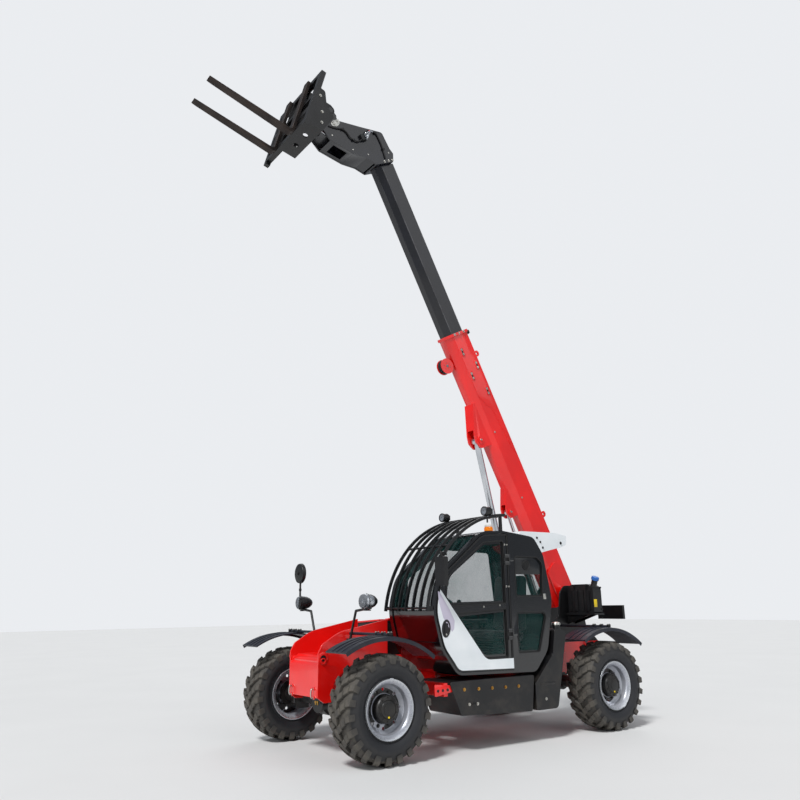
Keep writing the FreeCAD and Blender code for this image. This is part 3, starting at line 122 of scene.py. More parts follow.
class Finish:
    # One procedural material: its shader's plain sockets are set by name, what varies is linked.
    def __init__(self, name, **constants):
        self.material = bpy.data.materials.new(name)
        self.material.use_nodes = True
        self.tree = self.material.node_tree
        self.shader = self.tree.nodes["Principled BSDF"]
        for socket, value in constants.items():
            self.shader.inputs[socket.replace("_", " ")].default_value = value
        self.place = self.make("ShaderNodeTexCoord", out="Object")

    def make(self, kind, settings=None, inputs=None, out=0):
        node = self.tree.nodes.new(kind)
        for key, value in (settings or {}).items():
            setattr(node, key, value)
        for key, value in (inputs or {}).items():
            if isinstance(value, Wire):
                self.tree.links.new(value.socket, node.inputs[key])
            else:
                node.inputs[key].default_value = value
        return Wire(self, node.outputs[out])

    def noise(self, scale, detail=4.0, roughness=0.55, where=None):
        return self.make("ShaderNodeTexNoise", None, {
            "Vector": where or self.place, "Scale": scale, "Detail": detail, "Roughness": roughness})

    def spots(self, scale):
        return self.make("ShaderNodeTexVoronoi", None, {"Vector": self.place, "Scale": scale})

    def stretched(self, x, y, z):
        return self.make("ShaderNodeMapping", None, {"Vector": self.place, "Scale": (x, y, z)})

    def axis(self, letter):
        return self.make("ShaderNodeSeparateXYZ", None, {"Vector": self.place}, out=letter)

    def ramp(self, value, low, high):
        # 0 below low, 1 above high, eased between.
        return self.make("ShaderNodeMapRange", {"interpolation_type": "SMOOTHSTEP"},
                         {"Value": value, "From Min": low, "From Max": high})

    def blend(self, factor, first, second):
        # Mixes two wires or colours, a colour as (red, green, blue) up to 255.
        first, second = (value if isinstance(value, Wire) else srgb(*value) for value in (first, second))
        return self.make("ShaderNodeMix", {"data_type": "RGBA"}, {0: factor, 6: first, 7: second}, out=2)

    def attribute(self, name):
        return self.make("ShaderNodeAttribute", {"attribute_name": name}, None, out="Fac")

    def bump(self, height, distance, strength, after=None):
        inputs = {"Height": height, "Distance": distance, "Strength": strength}
        if after:
            inputs["Normal"] = after
        return self.make("ShaderNodeBump", None, inputs)

    def link(self, socket, wire):
        self.tree.links.new(wire.socket, self.shader.inputs[socket])


def srgb(red, green, blue):
    def linear(level):
        level /= 255
        return level / 12.92 if level <= 0.04045 else ((level + 0.055) / 1.055) ** 2.4
    return (linear(red), linear(green), linear(blue), 1.0)


dustColour = (150, 138, 122)


def enamel(name, colour, shade, gloss, dust, film, coat=0.0, metallic=0.0):
    # Sprayed paint: slow colour drift, fine orange peel, a film of dust that thickens towards the ground.
    # film is what the wind leaves all over.
    finish = Finish(name, Metallic=metallic, Coat_Roughness=0.08)
    drift = finish.noise(1.7, 3.0)
    fine = finish.noise(38.0, 5.0)
    base = finish.blend(finish.ramp(drift, 0.35, 0.68), shade, colour)
    low = 1 - finish.ramp(finish.axis("Z"), 0.15, 1.5)
    cloud = finish.ramp(finish.noise(6.5, 6.0, 0.62), 0.4, 0.78)
    veil = (low * cloud * dust + cloud * film).clamped()
    finish.link("Base Color", finish.blend(veil, base, dustColour))
    finish.link("Roughness", (fine * 0.08 + veil * 0.9 + (gloss - 0.04)).clamped())
    if coat:
        finish.link("Coat Weight", (coat - veil * 1.2).clamped())
    finish.link("Normal", finish.bump(finish.noise(240.0, 2.0), 0.0006, 0.35))
    return finish.material


def rubber(name, colour, dusty):
    # Moulded rubber: dust lies on the faces marked by the dust attribute, finer grain elsewhere.
    finish = Finish(name)
    marked = finish.attribute("dust")
    cloud = finish.noise(9.0, 6.0, 0.65)
    worn = finish.ramp(cloud, 0.28, 0.72)
    faint = finish.ramp(finish.noise(3.2, 4.0), 0.45, 0.8) * 0.03
    veil = (marked * (worn * 0.45 + 0.34) * dusty + faint).clamped()
    finish.link("Base Color", finish.blend(veil, colour, (104, 98, 88)))
    finish.link("Roughness", (veil * 0.3 + finish.noise(55.0, 3.0) * 0.16 + 0.5).clamped())
    grain = finish.bump(finish.noise(420.0, 3.0), 0.0008, 0.4)
    finish.link("Normal", finish.bump(finish.noise(30.0, 4.0), 0.002, 0.25, grain))
    return finish.material


def plastic(name, colour, shade, roughness, grain, dust):
    # Moulded or sheet plastic with a leathery grain.
    finish = Finish(name)
    drift = finish.ramp(finish.noise(2.6, 3.0), 0.3, 0.7)
    cloud = finish.ramp(finish.noise(8.0, 6.0, 0.6), 0.42, 0.8)
    veil = cloud * dust
    finish.link("Base Color", finish.blend(veil, finish.blend(drift, shade, colour), dustColour))
    finish.link("Roughness", (finish.noise(60.0, 4.0) * 0.14 + veil * 0.6 + (roughness - 0.07)).clamped())
    cells = finish.spots(520.0)
    finish.link("Normal", finish.bump(cells, 0.0006, grain))
    return finish.material


def metal(name, colour, shade, roughness, scratch, metallic=1.0, brushed=(1, 1, 1), stain=0.0):
    # Bare or plated metal, brushed or scratched along the axis with the small number.
    finish = Finish(name, Metallic=metallic)
    lines = finish.noise(90.0, 4.0, 0.7, finish.stretched(*brushed))
    cloud = finish.noise(4.0, 5.0)
    base = finish.blend(finish.ramp(cloud, 0.3, 0.7), shade, colour)
    if stain:
        base = finish.blend(finish.ramp(finish.noise(11.0, 6.0, 0.65), 0.5, 0.74) * stain, base, (72, 50, 36))
    finish.link("Base Color", base)
    finish.link("Roughness", (lines * 0.16 + cloud * 0.1 + (roughness - 0.11)).clamped())
    finish.link("Normal", finish.bump(lines, 0.0006, scratch))
    return finish.material


def pane(name, tint, edge, opacity):
    # Tinted safety glass: a thin film of colour over clear, with faint dirt that is less see-through.
    finish = Finish(name, Roughness=0.04, IOR=1.5)
    film = finish.ramp(finish.noise(2.4, 5.0), 0.35, 0.75)
    finish.link("Base Color", finish.blend(film, tint, edge))
    finish.link("Alpha", (film * 0.08 + opacity).clamped())
    finish.link("Roughness", finish.noise(14.0, 5.0) * 0.05 + 0.02)
    finish.link("Normal", finish.bump(finish.noise(1.2, 1.0), 0.0004, 0.05))
    return finish.material


def lamp(name, colour, shade, scale, glow=0.0, opacity=1.0):
    # Lens with moulded flutes.
    finish = Finish(name, Roughness=0.08, IOR=1.5)
    flutes = finish.make("ShaderNodeTexWave", {"wave_type": "BANDS", "bands_direction": "Y"},
                         {"Vector": finish.place, "Scale": scale, "Distortion": 0.0})
    finish.link("Base Color", finish.blend(flutes * 0.6, colour, shade))
    finish.link("Roughness", finish.noise(30.0) * 0.08 + 0.06)
    finish.link("Normal", finish.bump(flutes, 0.002, 0.7 if opacity == 1 else 0.1))
    if opacity < 1:
        finish.link("Alpha", flutes * 0.12 + opacity)
    if glow:
        finish.shader.inputs["Emission Color"].default_value = srgb(*colour)
        finish.shader.inputs["Emission Strength"].default_value = glow
    return finish.material


def cloth(name, colour, shade, thread):
    # Woven seat fabric: two crossed bands of thread.
    finish = Finish(name, Roughness=0.88, Sheen_Weight=0.25)
    weft = finish.make("ShaderNodeTexWave", {"wave_type": "BANDS", "bands_direction": "Y"},
                       {"Vector": finish.place, "Scale": thread, "Distortion": 0.4})
    warp = finish.make("ShaderNodeTexWave", {"wave_type": "BANDS", "bands_direction": "X"},
                       {"Vector": finish.place, "Scale": thread, "Distortion": 0.4})
    weave = weft * warp
    finish.link("Base Color", finish.blend(weave, shade, colour))
    finish.link("Normal", finish.bump(weave, 0.0012, 0.6))
    return finish.material


print("stage: finishes")
red = enamel("redPaint", (240, 17, 9), (224, 11, 6), 0.3, coat=0.7, dust=0.05, film=0.0)
gloss = enamel("glossBlack", (7, 8, 11), (4, 5, 8), 0.14, coat=0.8, dust=0.03, film=0.0)
satin = enamel("satinBlack", (16, 16, 18), (10, 10, 12), 0.36, dust=0.07, film=0.012)
white = enamel("whitePanel", (232, 236, 238), (218, 224, 227), 0.24, coat=0.7, dust=0.03, film=0.0)
silver = enamel("silverPaint", (186, 189, 196), (160, 163, 172), 0.3, metallic=0.55, dust=0.15, film=0.04)
hubBlack = enamel("hubPaint", (18, 18, 18), (11, 11, 11), 0.34, dust=0.05, film=0.01)
forkSteel = metal("forkSteel", (66, 58, 54), (42, 37, 36), 0.46, 0.5, 0.75, (1, 14, 14), 0.35)
boomBlack = enamel("boomBlack", (13, 15, 24), (8, 9, 16), 0.3, coat=0.4, dust=0.05, film=0.01)
fenderPlastic = plastic("fenderPlastic", (27, 31, 44), (20, 23, 34), 0.38, 0.45, 0.05)
darkPlastic = plastic("darkPlastic", (16, 17, 20), (11, 12, 14), 0.42, 0.5, 0.02)
greyPlastic = plastic("greyPlastic", (92, 95, 98), (74, 77, 81), 0.55, 0.5, 0.05)
bluePlastic = plastic("bluePlastic", (46, 122, 205), (32, 96, 176), 0.38, 0.3, 0.03)
yellowPlate = plastic("yellowPlate", (236, 206, 26), (222, 190, 16), 0.4, 0.2, 0.03)
palePlate = plastic("palePlate", (226, 226, 220), (208, 208, 202), 0.45, 0.2, 0.04)
tyreRubber = rubber("tyreRubber", (24, 26, 31), 0.85)
hoseRubber = rubber("hoseRubber", (19, 19, 20), 0.5)
sealRubber = rubber("sealRubber", (15, 15, 16), 0.4)
chrome = metal("chrome", (214, 217, 221), (190, 194, 199), 0.14, 0.06)
zinc = metal("zincPlate", (206, 204, 196), (178, 177, 172), 0.28, 0.2)
brass = metal("brassFitting", (204, 160, 84), (170, 128, 66), 0.3, 0.2)
castIron = metal("castIron", (88, 90, 92), (66, 68, 70), 0.55, 0.6, 0.7, stain=0.2)
glassTeal = pane("tealGlass", (20, 58, 56), (34, 78, 74), 0.2)
frit = enamel("fritBlack", (7, 8, 10), (5, 6, 7), 0.16, coat=0.8, dust=0.01, film=0.0)
lensClear = lamp("clearLens", (190, 196, 204), (96, 102, 112), 14.0, opacity=0.26)
lensRed = lamp("redLens", (196, 20, 16), (128, 8, 8), 60.0, 0.05)
lensAmber = lamp("amberLens", (246, 140, 16), (206, 96, 8), 60.0, 0.15)
mirrorGlass = metal("mirrorGlass", (206, 212, 218), (196, 202, 208), 0.1, 0.02)
seatCloth = cloth("seatCloth", (44, 45, 49), (24, 25, 28), 130.0)
smoked = plastic("smokedPanel", (20, 24, 28), (14, 17, 20), 0.24, 0.1, 0.03)
# lilac: painted shade, a darker patch on the white door by its handle
doorShadePaint = enamel("doorPaintedShade", (196, 190, 206), (184, 178, 196), 0.26, coat=0.6, dust=0.02, film=0.0)
steelLine = metal("steelLine", (150, 152, 154), (120, 122, 124), 0.34, 0.2)
greasedSteel = metal("greasedSteel", (104, 104, 106), (70, 70, 72), 0.34, 0.3, 0.85, (14, 14, 1), 0.3)
redCap = plastic("redCap", (206, 24, 22), (176, 16, 16), 0.4, 0.2, 0.02)
# a lighter, more metallic copy of the silver paint: painted highlight on the wheels' lips
rimLitSilver = enamel("rimLipHighlight", (206, 209, 214), (180, 184, 190), 0.22, metallic=0.75, dust=0.1, film=0.02)


# Modelling helpers: each adds to one bmesh, in metres of the frame
def onPlane(y, points):
    # Machine points (x, z) in the plane of one y.
    return [at(x, y, z) for x, z in points]


def onSide(y, points):
    # Boom points (u, w) in the plane of one y.
    return [onBoom(u, y, w) for u, w in points]


def turns(count, start=0.0):
    # Evenly spread angles of one turn, the first one start steps in.
    return [2 * math.pi * (number + start) / count for number in range(count)]


def everything(piece):
    return piece.mesh.verts[:] + piece.mesh.edges[:] + piece.mesh.faces[:]


def turnTo(direction):
    # Rotation that takes +Z to the direction.
    return Vector(direction).normalized().to_track_quat("Z", "Y").to_matrix().to_4x4()


def addObject(name, data):
    thing = bpy.data.objects.new(name, data)
    bpy.context.scene.collection.objects.link(thing)
    return thing


class Piece:
    def __init__(self, name):
        self.name = name
        self.mesh = bmesh.new()
        self.mat = 0

    def markSince(self, before):
        # The faces made since before, set to the current material.
        faces = [face for face in self.mesh.faces if face not in before]
        for face in faces:
            face.material_index = self.mat
        return faces

    def vertsSince(self, before):
        return list({vert for face in self.mesh.faces if face not in before for vert in face.verts})

    def roundEdges(self, faces, width, segments=2, angle=0.5):
        if not width:
            return
        edges = {edge for face in faces for edge in face.edges
                 if len(edge.link_faces) == 2 and edge.calc_face_angle(0) > angle}
        made = bmesh.ops.bevel(self.mesh, geom=list(edges), affect="EDGES", offset=width, segments=segments,
                               profile=0.5, material=-1, clamp_overlap=True)
        for face in made["faces"]:
            face.material_index = self.mat

    def box(self, low, high, bevel=0.004, turn=None):
        before = set(self.mesh.faces)
        low, high = Vector(low), Vector(high)
        matrix = Matrix.Translation((low + high) / 2) @ Matrix.Diagonal((*(high - low), 1))
        if turn is not None:
            matrix = turn @ matrix
        bmesh.ops.create_cube(self.mesh, size=1, matrix=matrix)
        self.roundEdges(self.markSince(before), bevel)

    def boxAt(self, centre, low, high, bevel):
        # A box whose corners are given from a centre.
        self.box(centre + Vector(low), centre + Vector(high), bevel)

    def rod(self, start, end, radius, endRadius=None, *, segments, bevel=0.0):
        before = set(self.mesh.faces)
        start, end = Vector(start), Vector(end)
        matrix = Matrix.Translation((start + end) / 2) @ turnTo(end - start)
        bmesh.ops.create_cone(self.mesh, cap_ends=True, segments=segments, radius1=radius,
                              radius2=radius if endRadius is None else endRadius,
                              depth=(end - start).length, matrix=matrix)
        self.roundEdges(self.markSince(before), bevel, 2, 0.9)

    def ball(self, centre, radius, squash=(1, 1, 1)):
        before = set(self.mesh.faces)
        matrix = Matrix.Translation(centre) @ Matrix.Diagonal((*squash, 1))
        bmesh.ops.create_uvsphere(self.mesh, u_segments=20, v_segments=10, radius=radius,
                                  matrix=matrix)
        self.markSince(before)

    def turned(self, origin, direction, profile, steps, closed=False):
        # A lathe shape: profile as (radius, distance along direction from origin).
        before = set(self.mesh.faces)
        verts = [self.mesh.verts.new((radius, 0, along)) for radius, along in profile]
        edges = [self.mesh.edges.new(pair) for pair in zip(verts, verts[1:])]
        if closed:
            edges.append(self.mesh.edges.new((verts[-1], verts[0])))
        bmesh.ops.spin(self.mesh, geom=verts + edges, cent=(0, 0, 0), axis=(0, 0, 1), angle=2 * math.pi,
                       steps=steps, use_merge=True)
        self.markSince(before)
        bmesh.ops.remove_doubles(self.mesh, verts=self.vertsSince(before), dist=1e-6)
        bmesh.ops.transform(self.mesh, matrix=Matrix.Translation(origin) @ turnTo(direction),
                            verts=self.vertsSince(before))

    def plate(self, outline, thickness, bevel):
        # A flat outline of points, thickened along direction `thickness` (a vector).
        before = set(self.mesh.faces)
        face = self.mesh.faces.new([self.mesh.verts.new(Vector(point)) for point in outline])
        made = bmesh.ops.extrude_face_region(self.mesh, geom=[face])
        moved = [item for item in made["geom"] if isinstance(item, bmesh.types.BMVert)]
        bmesh.ops.translate(self.mesh, vec=Vector(thickness), verts=moved)
        faces = self.markSince(before)
        bmesh.ops.recalc_face_normals(self.mesh, faces=faces)
        self.roundEdges(faces, bevel)

    def pipe(self, route, radius, segments, bend=0.03):
        # A bent pipe through the route's points, each corner rounded by the bend.
        before = set(self.mesh.faces)
        points = [Vector(point) for point in route]
        line = [points[0]]
        for index in range(1, len(points) - 1):
            here = points[index]
            back = points[index - 1] - here
            ahead = points[index + 1] - here
            reach = min(bend, 0.45 * back.length, 0.45 * ahead.length)
            first, last = here + back.normalized() * reach, here + ahead.normalized() * reach
            for step in range(6):
                share = step / 5
                line.append(first.lerp(here, share).lerp(here.lerp(last, share), share))
        line.append(points[-1])
        loops = []
        side = Vector((0, 0, 1))
        for index, here in enumerate(line):
            ahead = (line[min(index + 1, len(line) - 1)] - line[max(index - 1, 0)]).normalized()
            across = ahead.cross(side)
            if across.length < 0.1:
                across = ahead.cross(Vector((0, 1, 0)))
            across.normalize()
            side = across.cross(ahead).normalized()
            ring = [self.mesh.verts.new(here + (across * math.cos(turn) + side * math.sin(turn)) * radius)
                    for turn in turns(segments)]
            loops.append([self.mesh.edges.new((ring[step - 1], ring[step])) for step in range(segments)])
        for first, second in zip(loops, loops[1:]):
            bmesh.ops.bridge_loops(self.mesh, edges=first + second)
        for loop in (loops[0], loops[-1]):
            bmesh.ops.contextual_create(self.mesh, geom=loop)
        faces = self.markSince(before)
        bmesh.ops.recalc_face_normals(self.mesh, faces=faces)

    def bolt(self, centre, direction, across, washer=True):
        # A hex head on a washer, standing on centre.
        direction = Vector(direction).normalized()
        centre = Vector(centre)
        if washer:
            self.rod(centre - direction * 0.002, centre + direction * across * 0.12, across * 0.85, segments=16)
        self.rod(centre, centre + direction * across * 0.6, across * 0.56, segments=6, bevel=across * 0.06)

    def bolts(self, places, direction, across):
        for place in places:
            self.bolt(place, direction, across)

    def built(self, materials):
        data = bpy.data.meshes.new(self.name)
        self.mesh.to_mesh(data)
        self.mesh.free()
        for material in materials if isinstance(materials, (list, tuple)) else [materials]:
            data.materials.append(material)
        return addObject(self.name, data)

    def done(self, node, materials, stands=(), smooth=32, recalc=True, bevel=0.0):
        # The finished object: it rides the node's body and stands in for the nodes in stands.
        if recalc:
            bmesh.ops.recalc_face_normals(self.mesh, faces=self.mesh.faces[:])
        thing = self.built(materials)
        thing.data.shade_smooth()
        thing.data.set_sharp_from_angle(angle=math.radians(smooth))
        if bevel:
            edge = thing.modifiers.new("edge", "BEVEL")
            edge.width, edge.segments, edge.limit_method = bevel, 2, "ANGLE"
            edge.angle_limit = math.radians(40)
            edge.use_clamp_overlap = True
        body, slot = nodeObjects[node]["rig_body"], slotOf(node)
        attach(thing, body)
        if stands:
            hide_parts(*stands)
        return thing


def slotOf(node):
    for entry in frame["record"]["materials"]:
        if node in entry.get("nodes", []):
            return entry["slot"]
    return frame["record"]["materials"][0]["slot"]


def dress(node, materials, bevel, pick=None, change=None):
    # The node's own shape, merged and with its edges rounded; pick gives a face's material by its centre.
    piece = Piece(node + "_finish")
    piece.mesh.from_mesh(nodeObjects[node].data)
    for face in piece.mesh.faces:
        face.material_index = 0
    bmesh.ops.remove_doubles(piece.mesh, verts=piece.mesh.verts[:], dist=2e-5)
    bmesh.ops.dissolve_limit(piece.mesh, angle_limit=math.radians(0.6), verts=piece.mesh.verts[:],
                             edges=piece.mesh.edges[:], delimit={"NORMAL"})
    if pick:
        for face in piece.mesh.faces:
            face.material_index = pick(face.calc_center_median())
    if change:
        change(piece)
    piece.done(node, materials, [node], recalc=False, bevel=bevel)


def rounded(corners, shrink=0.0, steps=6):
    # The outline's points in metres, its corners rounded, all moved inward by shrink (in millimetres).
    corners = [(*corner, 0)[:3] for corner in corners]
    count = len(corners)
    area = sum(corners[i - 1][0] * corners[i][1] - corners[i][0] * corners[i - 1][1] for i in range(count))
    turn = 1 if area > 0 else -1
    moved = []
    for index in range(count):
        before, (x, z, radius), after = corners[index - 1], corners[index], corners[(index + 1) % count]
        into = Vector((x - before[0], z - before[1])).normalized()
        onward = Vector((after[0] - x, after[1] - z)).normalized()
        first, second = Vector((-into.y, into.x)) * turn, Vector((-onward.y, onward.x)) * turn
        shift = (first + second) / (1 + first.dot(second)) * shrink
        bulge = (into.x * onward.y - into.y * onward.x) * turn
        moved.append((x + shift.x, z + shift.y, max(radius - shrink if bulge > 0 else radius + shrink, 6)))
    line = []
    for index in range(count):
        here = Vector(moved[index][:2])
        back = Vector(moved[index - 1][:2]) - here
        ahead = Vector(moved[(index + 1) % count][:2]) - here
        angle = back.angle(ahead)
        reach = min(moved[index][2] / math.tan(angle / 2), 0.49 * back.length, 0.49 * ahead.length)
        radius = reach * math.tan(angle / 2)
        middle = here + (back.normalized() + ahead.normalized()).normalized() * (radius / math.sin(angle / 2))
        start, end = here + back.normalized() * reach - middle, here + ahead.normalized() * reach - middle
        sweep = math.atan2(start.x * end.y - start.y * end.x, start.dot(end))
        for step in range(steps + 1):
            turned = Matrix.Rotation(sweep * step / steps, 2) @ start
            line.append(((middle + turned) / 1000)[:])
    return line


# Outlines of the cab's windows in millimetres, as (x, z) or (x, z, corner radius)
quarterTop = [(1150, 1640, 40), (1590, 1640, 20), (1590, 2110, 30), (1215, 2110, 60), (1120, 2040, 100)]
quarterLow = [(1250, 1000, 40), (1590, 1000, 20), (1590, 1455, 20), (1090, 1455, 60)]
rightWindow = [(1140, 1420, 60), (2640, 1420, 60), (2620, 1880, 120), (2020, 2260, 80), (1230, 2240, 80)]
upperWindow = [(1770, 1560, 20), (2700, 1540, 60), (2650, 1870, 250), (2080, 2262, 60), (1770, 2290, 30)]
lowerWindow = [(1770, 960, 20), (2130, 960, 140), (2600, 1420, 60), (2480, 1455, 200), (1770, 1500, 20)]


def ring(piece, outer, inner, low, high):
    # A flat band between two outlines in a plane of one y, from y low to y high.
    before = set(piece.mesh.faces)
    loops = [[piece.mesh.verts.new(at(x, y, z)) for x, z in outline]
             for outline, y in ((outer, low), (outer, high), (inner, high), (inner, low))]
    for first, second in zip(loops, loops[1:] + loops[:1]):
        for index in range(len(first)):
            piece.mesh.faces.new((first[index - 1], first[index], second[index], second[index - 1]))
    bmesh.ops.recalc_face_normals(piece.mesh, faces=piece.markSince(before))


def sheetOf(piece, outline, low, high, bevel=0.001):
    # A flat sheet of an outline in a plane of one y.
    piece.plate(onPlane(low, outline), (0, high - low, 0), bevel=bevel)


print("stage: painted nodes")
plain = {
    "nose": (red, 0.005), "boom_outer": (red, 0.004), "boom_stage": (boomBlack, 0.005),
    "boom_head": (boomBlack, 0.004), "carriage": (satin, 0.004), "forks": (forkSteel, 0.004),
    "cab_frame": (gloss, 0.004), "door_frame": (gloss, 0.003), "door_panel": (white, 0.003),
    "roof_cap": (white, 0.006), "roof_guard": (satin, 0.003), "side_box": (satin, 0.004),
    "side_tank": (satin, 0.006), "hood_body": (satin, 0.004), "hood_lid": (red, 0.004),
    "counterweight": (satin, 0.008),
    "fenders": (fenderPlastic, 0.003), "engine": (castIron, 0.004), "axles": (satin, 0.004),
    "lift_cylinder": (gloss, 0.003), "level_cylinder": (gloss, 0.002), "tilt_cylinder": (gloss, 0.002),
    "lift_rod": (chrome, 0.002), "level_rod": (chrome, 0.002), "tilt_rod": (chrome, 0.002),
    "fluid_tank": (darkPlastic, 0.006), "lamps": (satin, 0.002), "cab_mirror": (darkPlastic, 0.004),
    "steering_column": (darkPlastic, 0.005), "door_glass": (glassTeal, 0.0),
}
for hand in ("left", "right"):
    for end in ("front", "rear"):
        plain["knuckle_%s_%s" % (end, hand)] = (satin, 0.004)
for node, (material, bevel) in plain.items():
    dress(node, material, bevel)


tower = {"deck": 1.03, "front": 0.9}


def towerTop(piece):
    # The chassis's tower is black above the deck: its plates are parted there and its faces picked by height.
    parting = (0, 0, tower["deck"])
    bmesh.ops.bisect_plane(piece.mesh, geom=everything(piece), plane_co=parting, plane_no=(0, 0, 1))
    for face in piece.mesh.faces:
        centre = face.calc_center_median()
        face.material_index = 1 if centre.z > tower["deck"] and centre.x < at(tower["front"], 0, 0).x else 0


dress("chassis_frame", [red, satin], 0.004, change=towerTop)


windscreen = {"from": 2.3, "low": 1.5, "right": 0.345, "left": 1.035}


def frontPane(piece):
    # The windscreen is black below the guard's foot and along its sides.
    low, right, left = windscreen["low"], windscreen["right"], windscreen["left"]
    for point, normal in (((0, 0, low), (0, 0, 1)), ((0, left, 0), (0, 1, 0)), ((0, right, 0), (0, 1, 0))):
        bmesh.ops.bisect_plane(piece.mesh, geom=everything(piece), plane_co=point, plane_no=normal)
    for face in piece.mesh.faces:
        centre = face.calc_center_median()
        inFront = centre.x > at(windscreen["from"], 0, 0).x and right - 0.055 < centre.y < left + 0.055
        border = centre.z < low or centre.y > left or centre.y < right
        face.material_index = 1 if inFront and border else 0


dress("cab_glass", [glassTeal, frit], 0.0, change=frontPane)


print("stage: tyres and wheels")
# Tyre: casing is its outline as (radius, y) and under the radii between the lugs as (y, radius). A lug has three
# blocks: leading edge and trailing edge, each from its inner to its outer end, as a share of the lug pitch and of
# half the width. Rows of a block's section are (from which edge, share of the pitch off it, layer, dust).
# dust lies on the casing by its radius, as (from this radius, how much).
casing = [(0.253, 0.132), (0.262, 0.138), (0.29, 0.16), (0.312, 0.166), (0.316, 0.172), (0.321, 0.169),
          (0.34, 0.182), (0.376, 0.195), (0.405, 0.1985), (0.441, 0.19), (0.47, 0.176), (0.4815, 0.174),
          (0.499, 0.14), (0.504, 0.07)]
tread = {
    "lugs": 22, "half": 0.2, "middle": 0.5045, "turn": 0.1535 / 0.5375, "top": 0.537, "crown": 0.0295,
    "crownPower": 3.2, "sunk": 0.006, "chamfer": 0.005, "dust": ((0.475, 0.85), (0.4, 0.16), (0.0, 0.03)),
    "under": [(0.0, 0.5), (0.125, 0.498), (0.174, 0.474), (0.2, 0.44)],
    "blocks": [((0.37, -0.03), (0.03, 0.385), (-0.12, -0.03), (-0.42, 0.345)),
               ((-0.07, 0.415), (-0.31, 0.705), (-0.52, 0.375), (-0.77, 0.705)),
               ((-0.41, 0.735), (-0.52, 0.995), (-0.86, 0.735), (-0.96, 0.995))],
    "section": ((0, 0.03, 0, 0.5), (0, 0.0, 1, 0.9), (0, -0.025, 2, 1.0), (1, 0.025, 2, 1.0), (1, 0.0, 1, 0.9),
                (1, -0.03, 0, 0.5))
}


def tableValue(table, here):
    for (x0, y0), (x1, y1) in zip(table, table[1:]):
        if here <= x1:
            return y0 + (y1 - y0) * (here - x0) / (x1 - x0)
    return table[-1][1]


def tyre(node):
    low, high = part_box(node)
    centre = (low + high) / 2
    piece = Piece(node + "_rubber")
    dust = piece.mesh.verts.layers.float.new("dust")
    profile = casing + [(tread["middle"], 0.0)] + [(radius, -y) for radius, y in reversed(casing)]
    piece.turned(centre, (0, 1, 0), profile, steps=88, closed=True)
    for vert in piece.mesh.verts:
        away = math.hypot(vert.co.x - centre.x, vert.co.z - centre.z)
        vert[dust] = next(dusty for radius, dusty in tread["dust"] if away > radius)
    before = set(piece.mesh.faces)
    for side in (1, -1):
        for lead0, lead1, trail0, trail1 in tread["blocks"]:
            loops = []
            for step in range(4):
                ring = []
                rims = [Vector(first).lerp(Vector(last), step / 3)
                        for first, last in ((lead0, lead1), (trail0, trail1))]
                for edge, shift, layer, worn in tread["section"]:
                    along, out = rims[edge].x + shift, rims[edge].y
                    y = out * tread["half"]
                    top = tread["top"] - tread["crown"] * abs(out) ** tread["crownPower"]
                    foot = tableValue(tread["under"], abs(y)) - tread["sunk"]
                    radius = (foot, top - tread["chamfer"], top)[layer]
                    turn = (side < 0) * math.pi / tread["lugs"] - along * tread["turn"]
                    vert = piece.mesh.verts.new((math.cos(turn) * radius, y * side, math.sin(turn) * radius))
                    vert[dust] = worn
                    ring.append(vert)
                loops.append([piece.mesh.edges.new((ring[i - 1], ring[i])) for i in range(6)])
            for first, second in zip(loops, loops[1:]):
                bmesh.ops.bridge_loops(piece.mesh, edges=first + second)
            for loop in (loops[0], loops[-1]):
                bmesh.ops.contextual_create(piece.mesh, geom=loop)
    lugFaces = [face for face in piece.mesh.faces if face not in before]
    bmesh.ops.recalc_face_normals(piece.mesh, faces=lugFaces)
    first = piece.vertsSince(before)
    for turn in turns(tread["lugs"])[1:]:
        copied = bmesh.ops.duplicate(piece.mesh, geom=lugFaces)
        verts = [item for item in copied["geom"] if isinstance(item, bmesh.types.BMVert)]
        bmesh.ops.rotate(piece.mesh, cent=(0, 0, 0), verts=verts, matrix=Matrix.Rotation(turn, 3, "Y"))
        bmesh.ops.translate(piece.mesh, vec=centre, verts=verts)
    bmesh.ops.translate(piece.mesh, vec=centre, verts=first)
    piece.done(node, tyreRubber, [node], smooth=38, recalc=False)


# Wheel: places are (radius, distance out from its middle), bolts (how many, radius, out, size)
rim = {
    "hubRadius": 0.146, "hubFrom": 0.03, "lipRadius": 0.268,
    "lip": [(0.2545, 0.112), (0.246, 0.116), (0.24, 0.11), (0.24, 0.102), (0.2545, 0.098)],
    "hubLip": [(0.105, 0.14), (0.105, 0.146), (0.098, 0.149), (0.092, 0.146), (0.092, 0.14)],
    "hubCap": [(0.058, 0.149), (0.058, 0.154), (0.03, 0.156), (0.0, 0.156)],
    "hubBolts": (10, 0.1155, 0.1375, 0.016), "wheelBolts": (8, 0.17, 0.05, 0.024),
    "plug": ((0.075, 0.148), (0.075, 0.156)), "valve": ((0.236, 0.082), (0.226, 0.098), (0.212, 0.112)),
    "valveTurn": 0.9
}


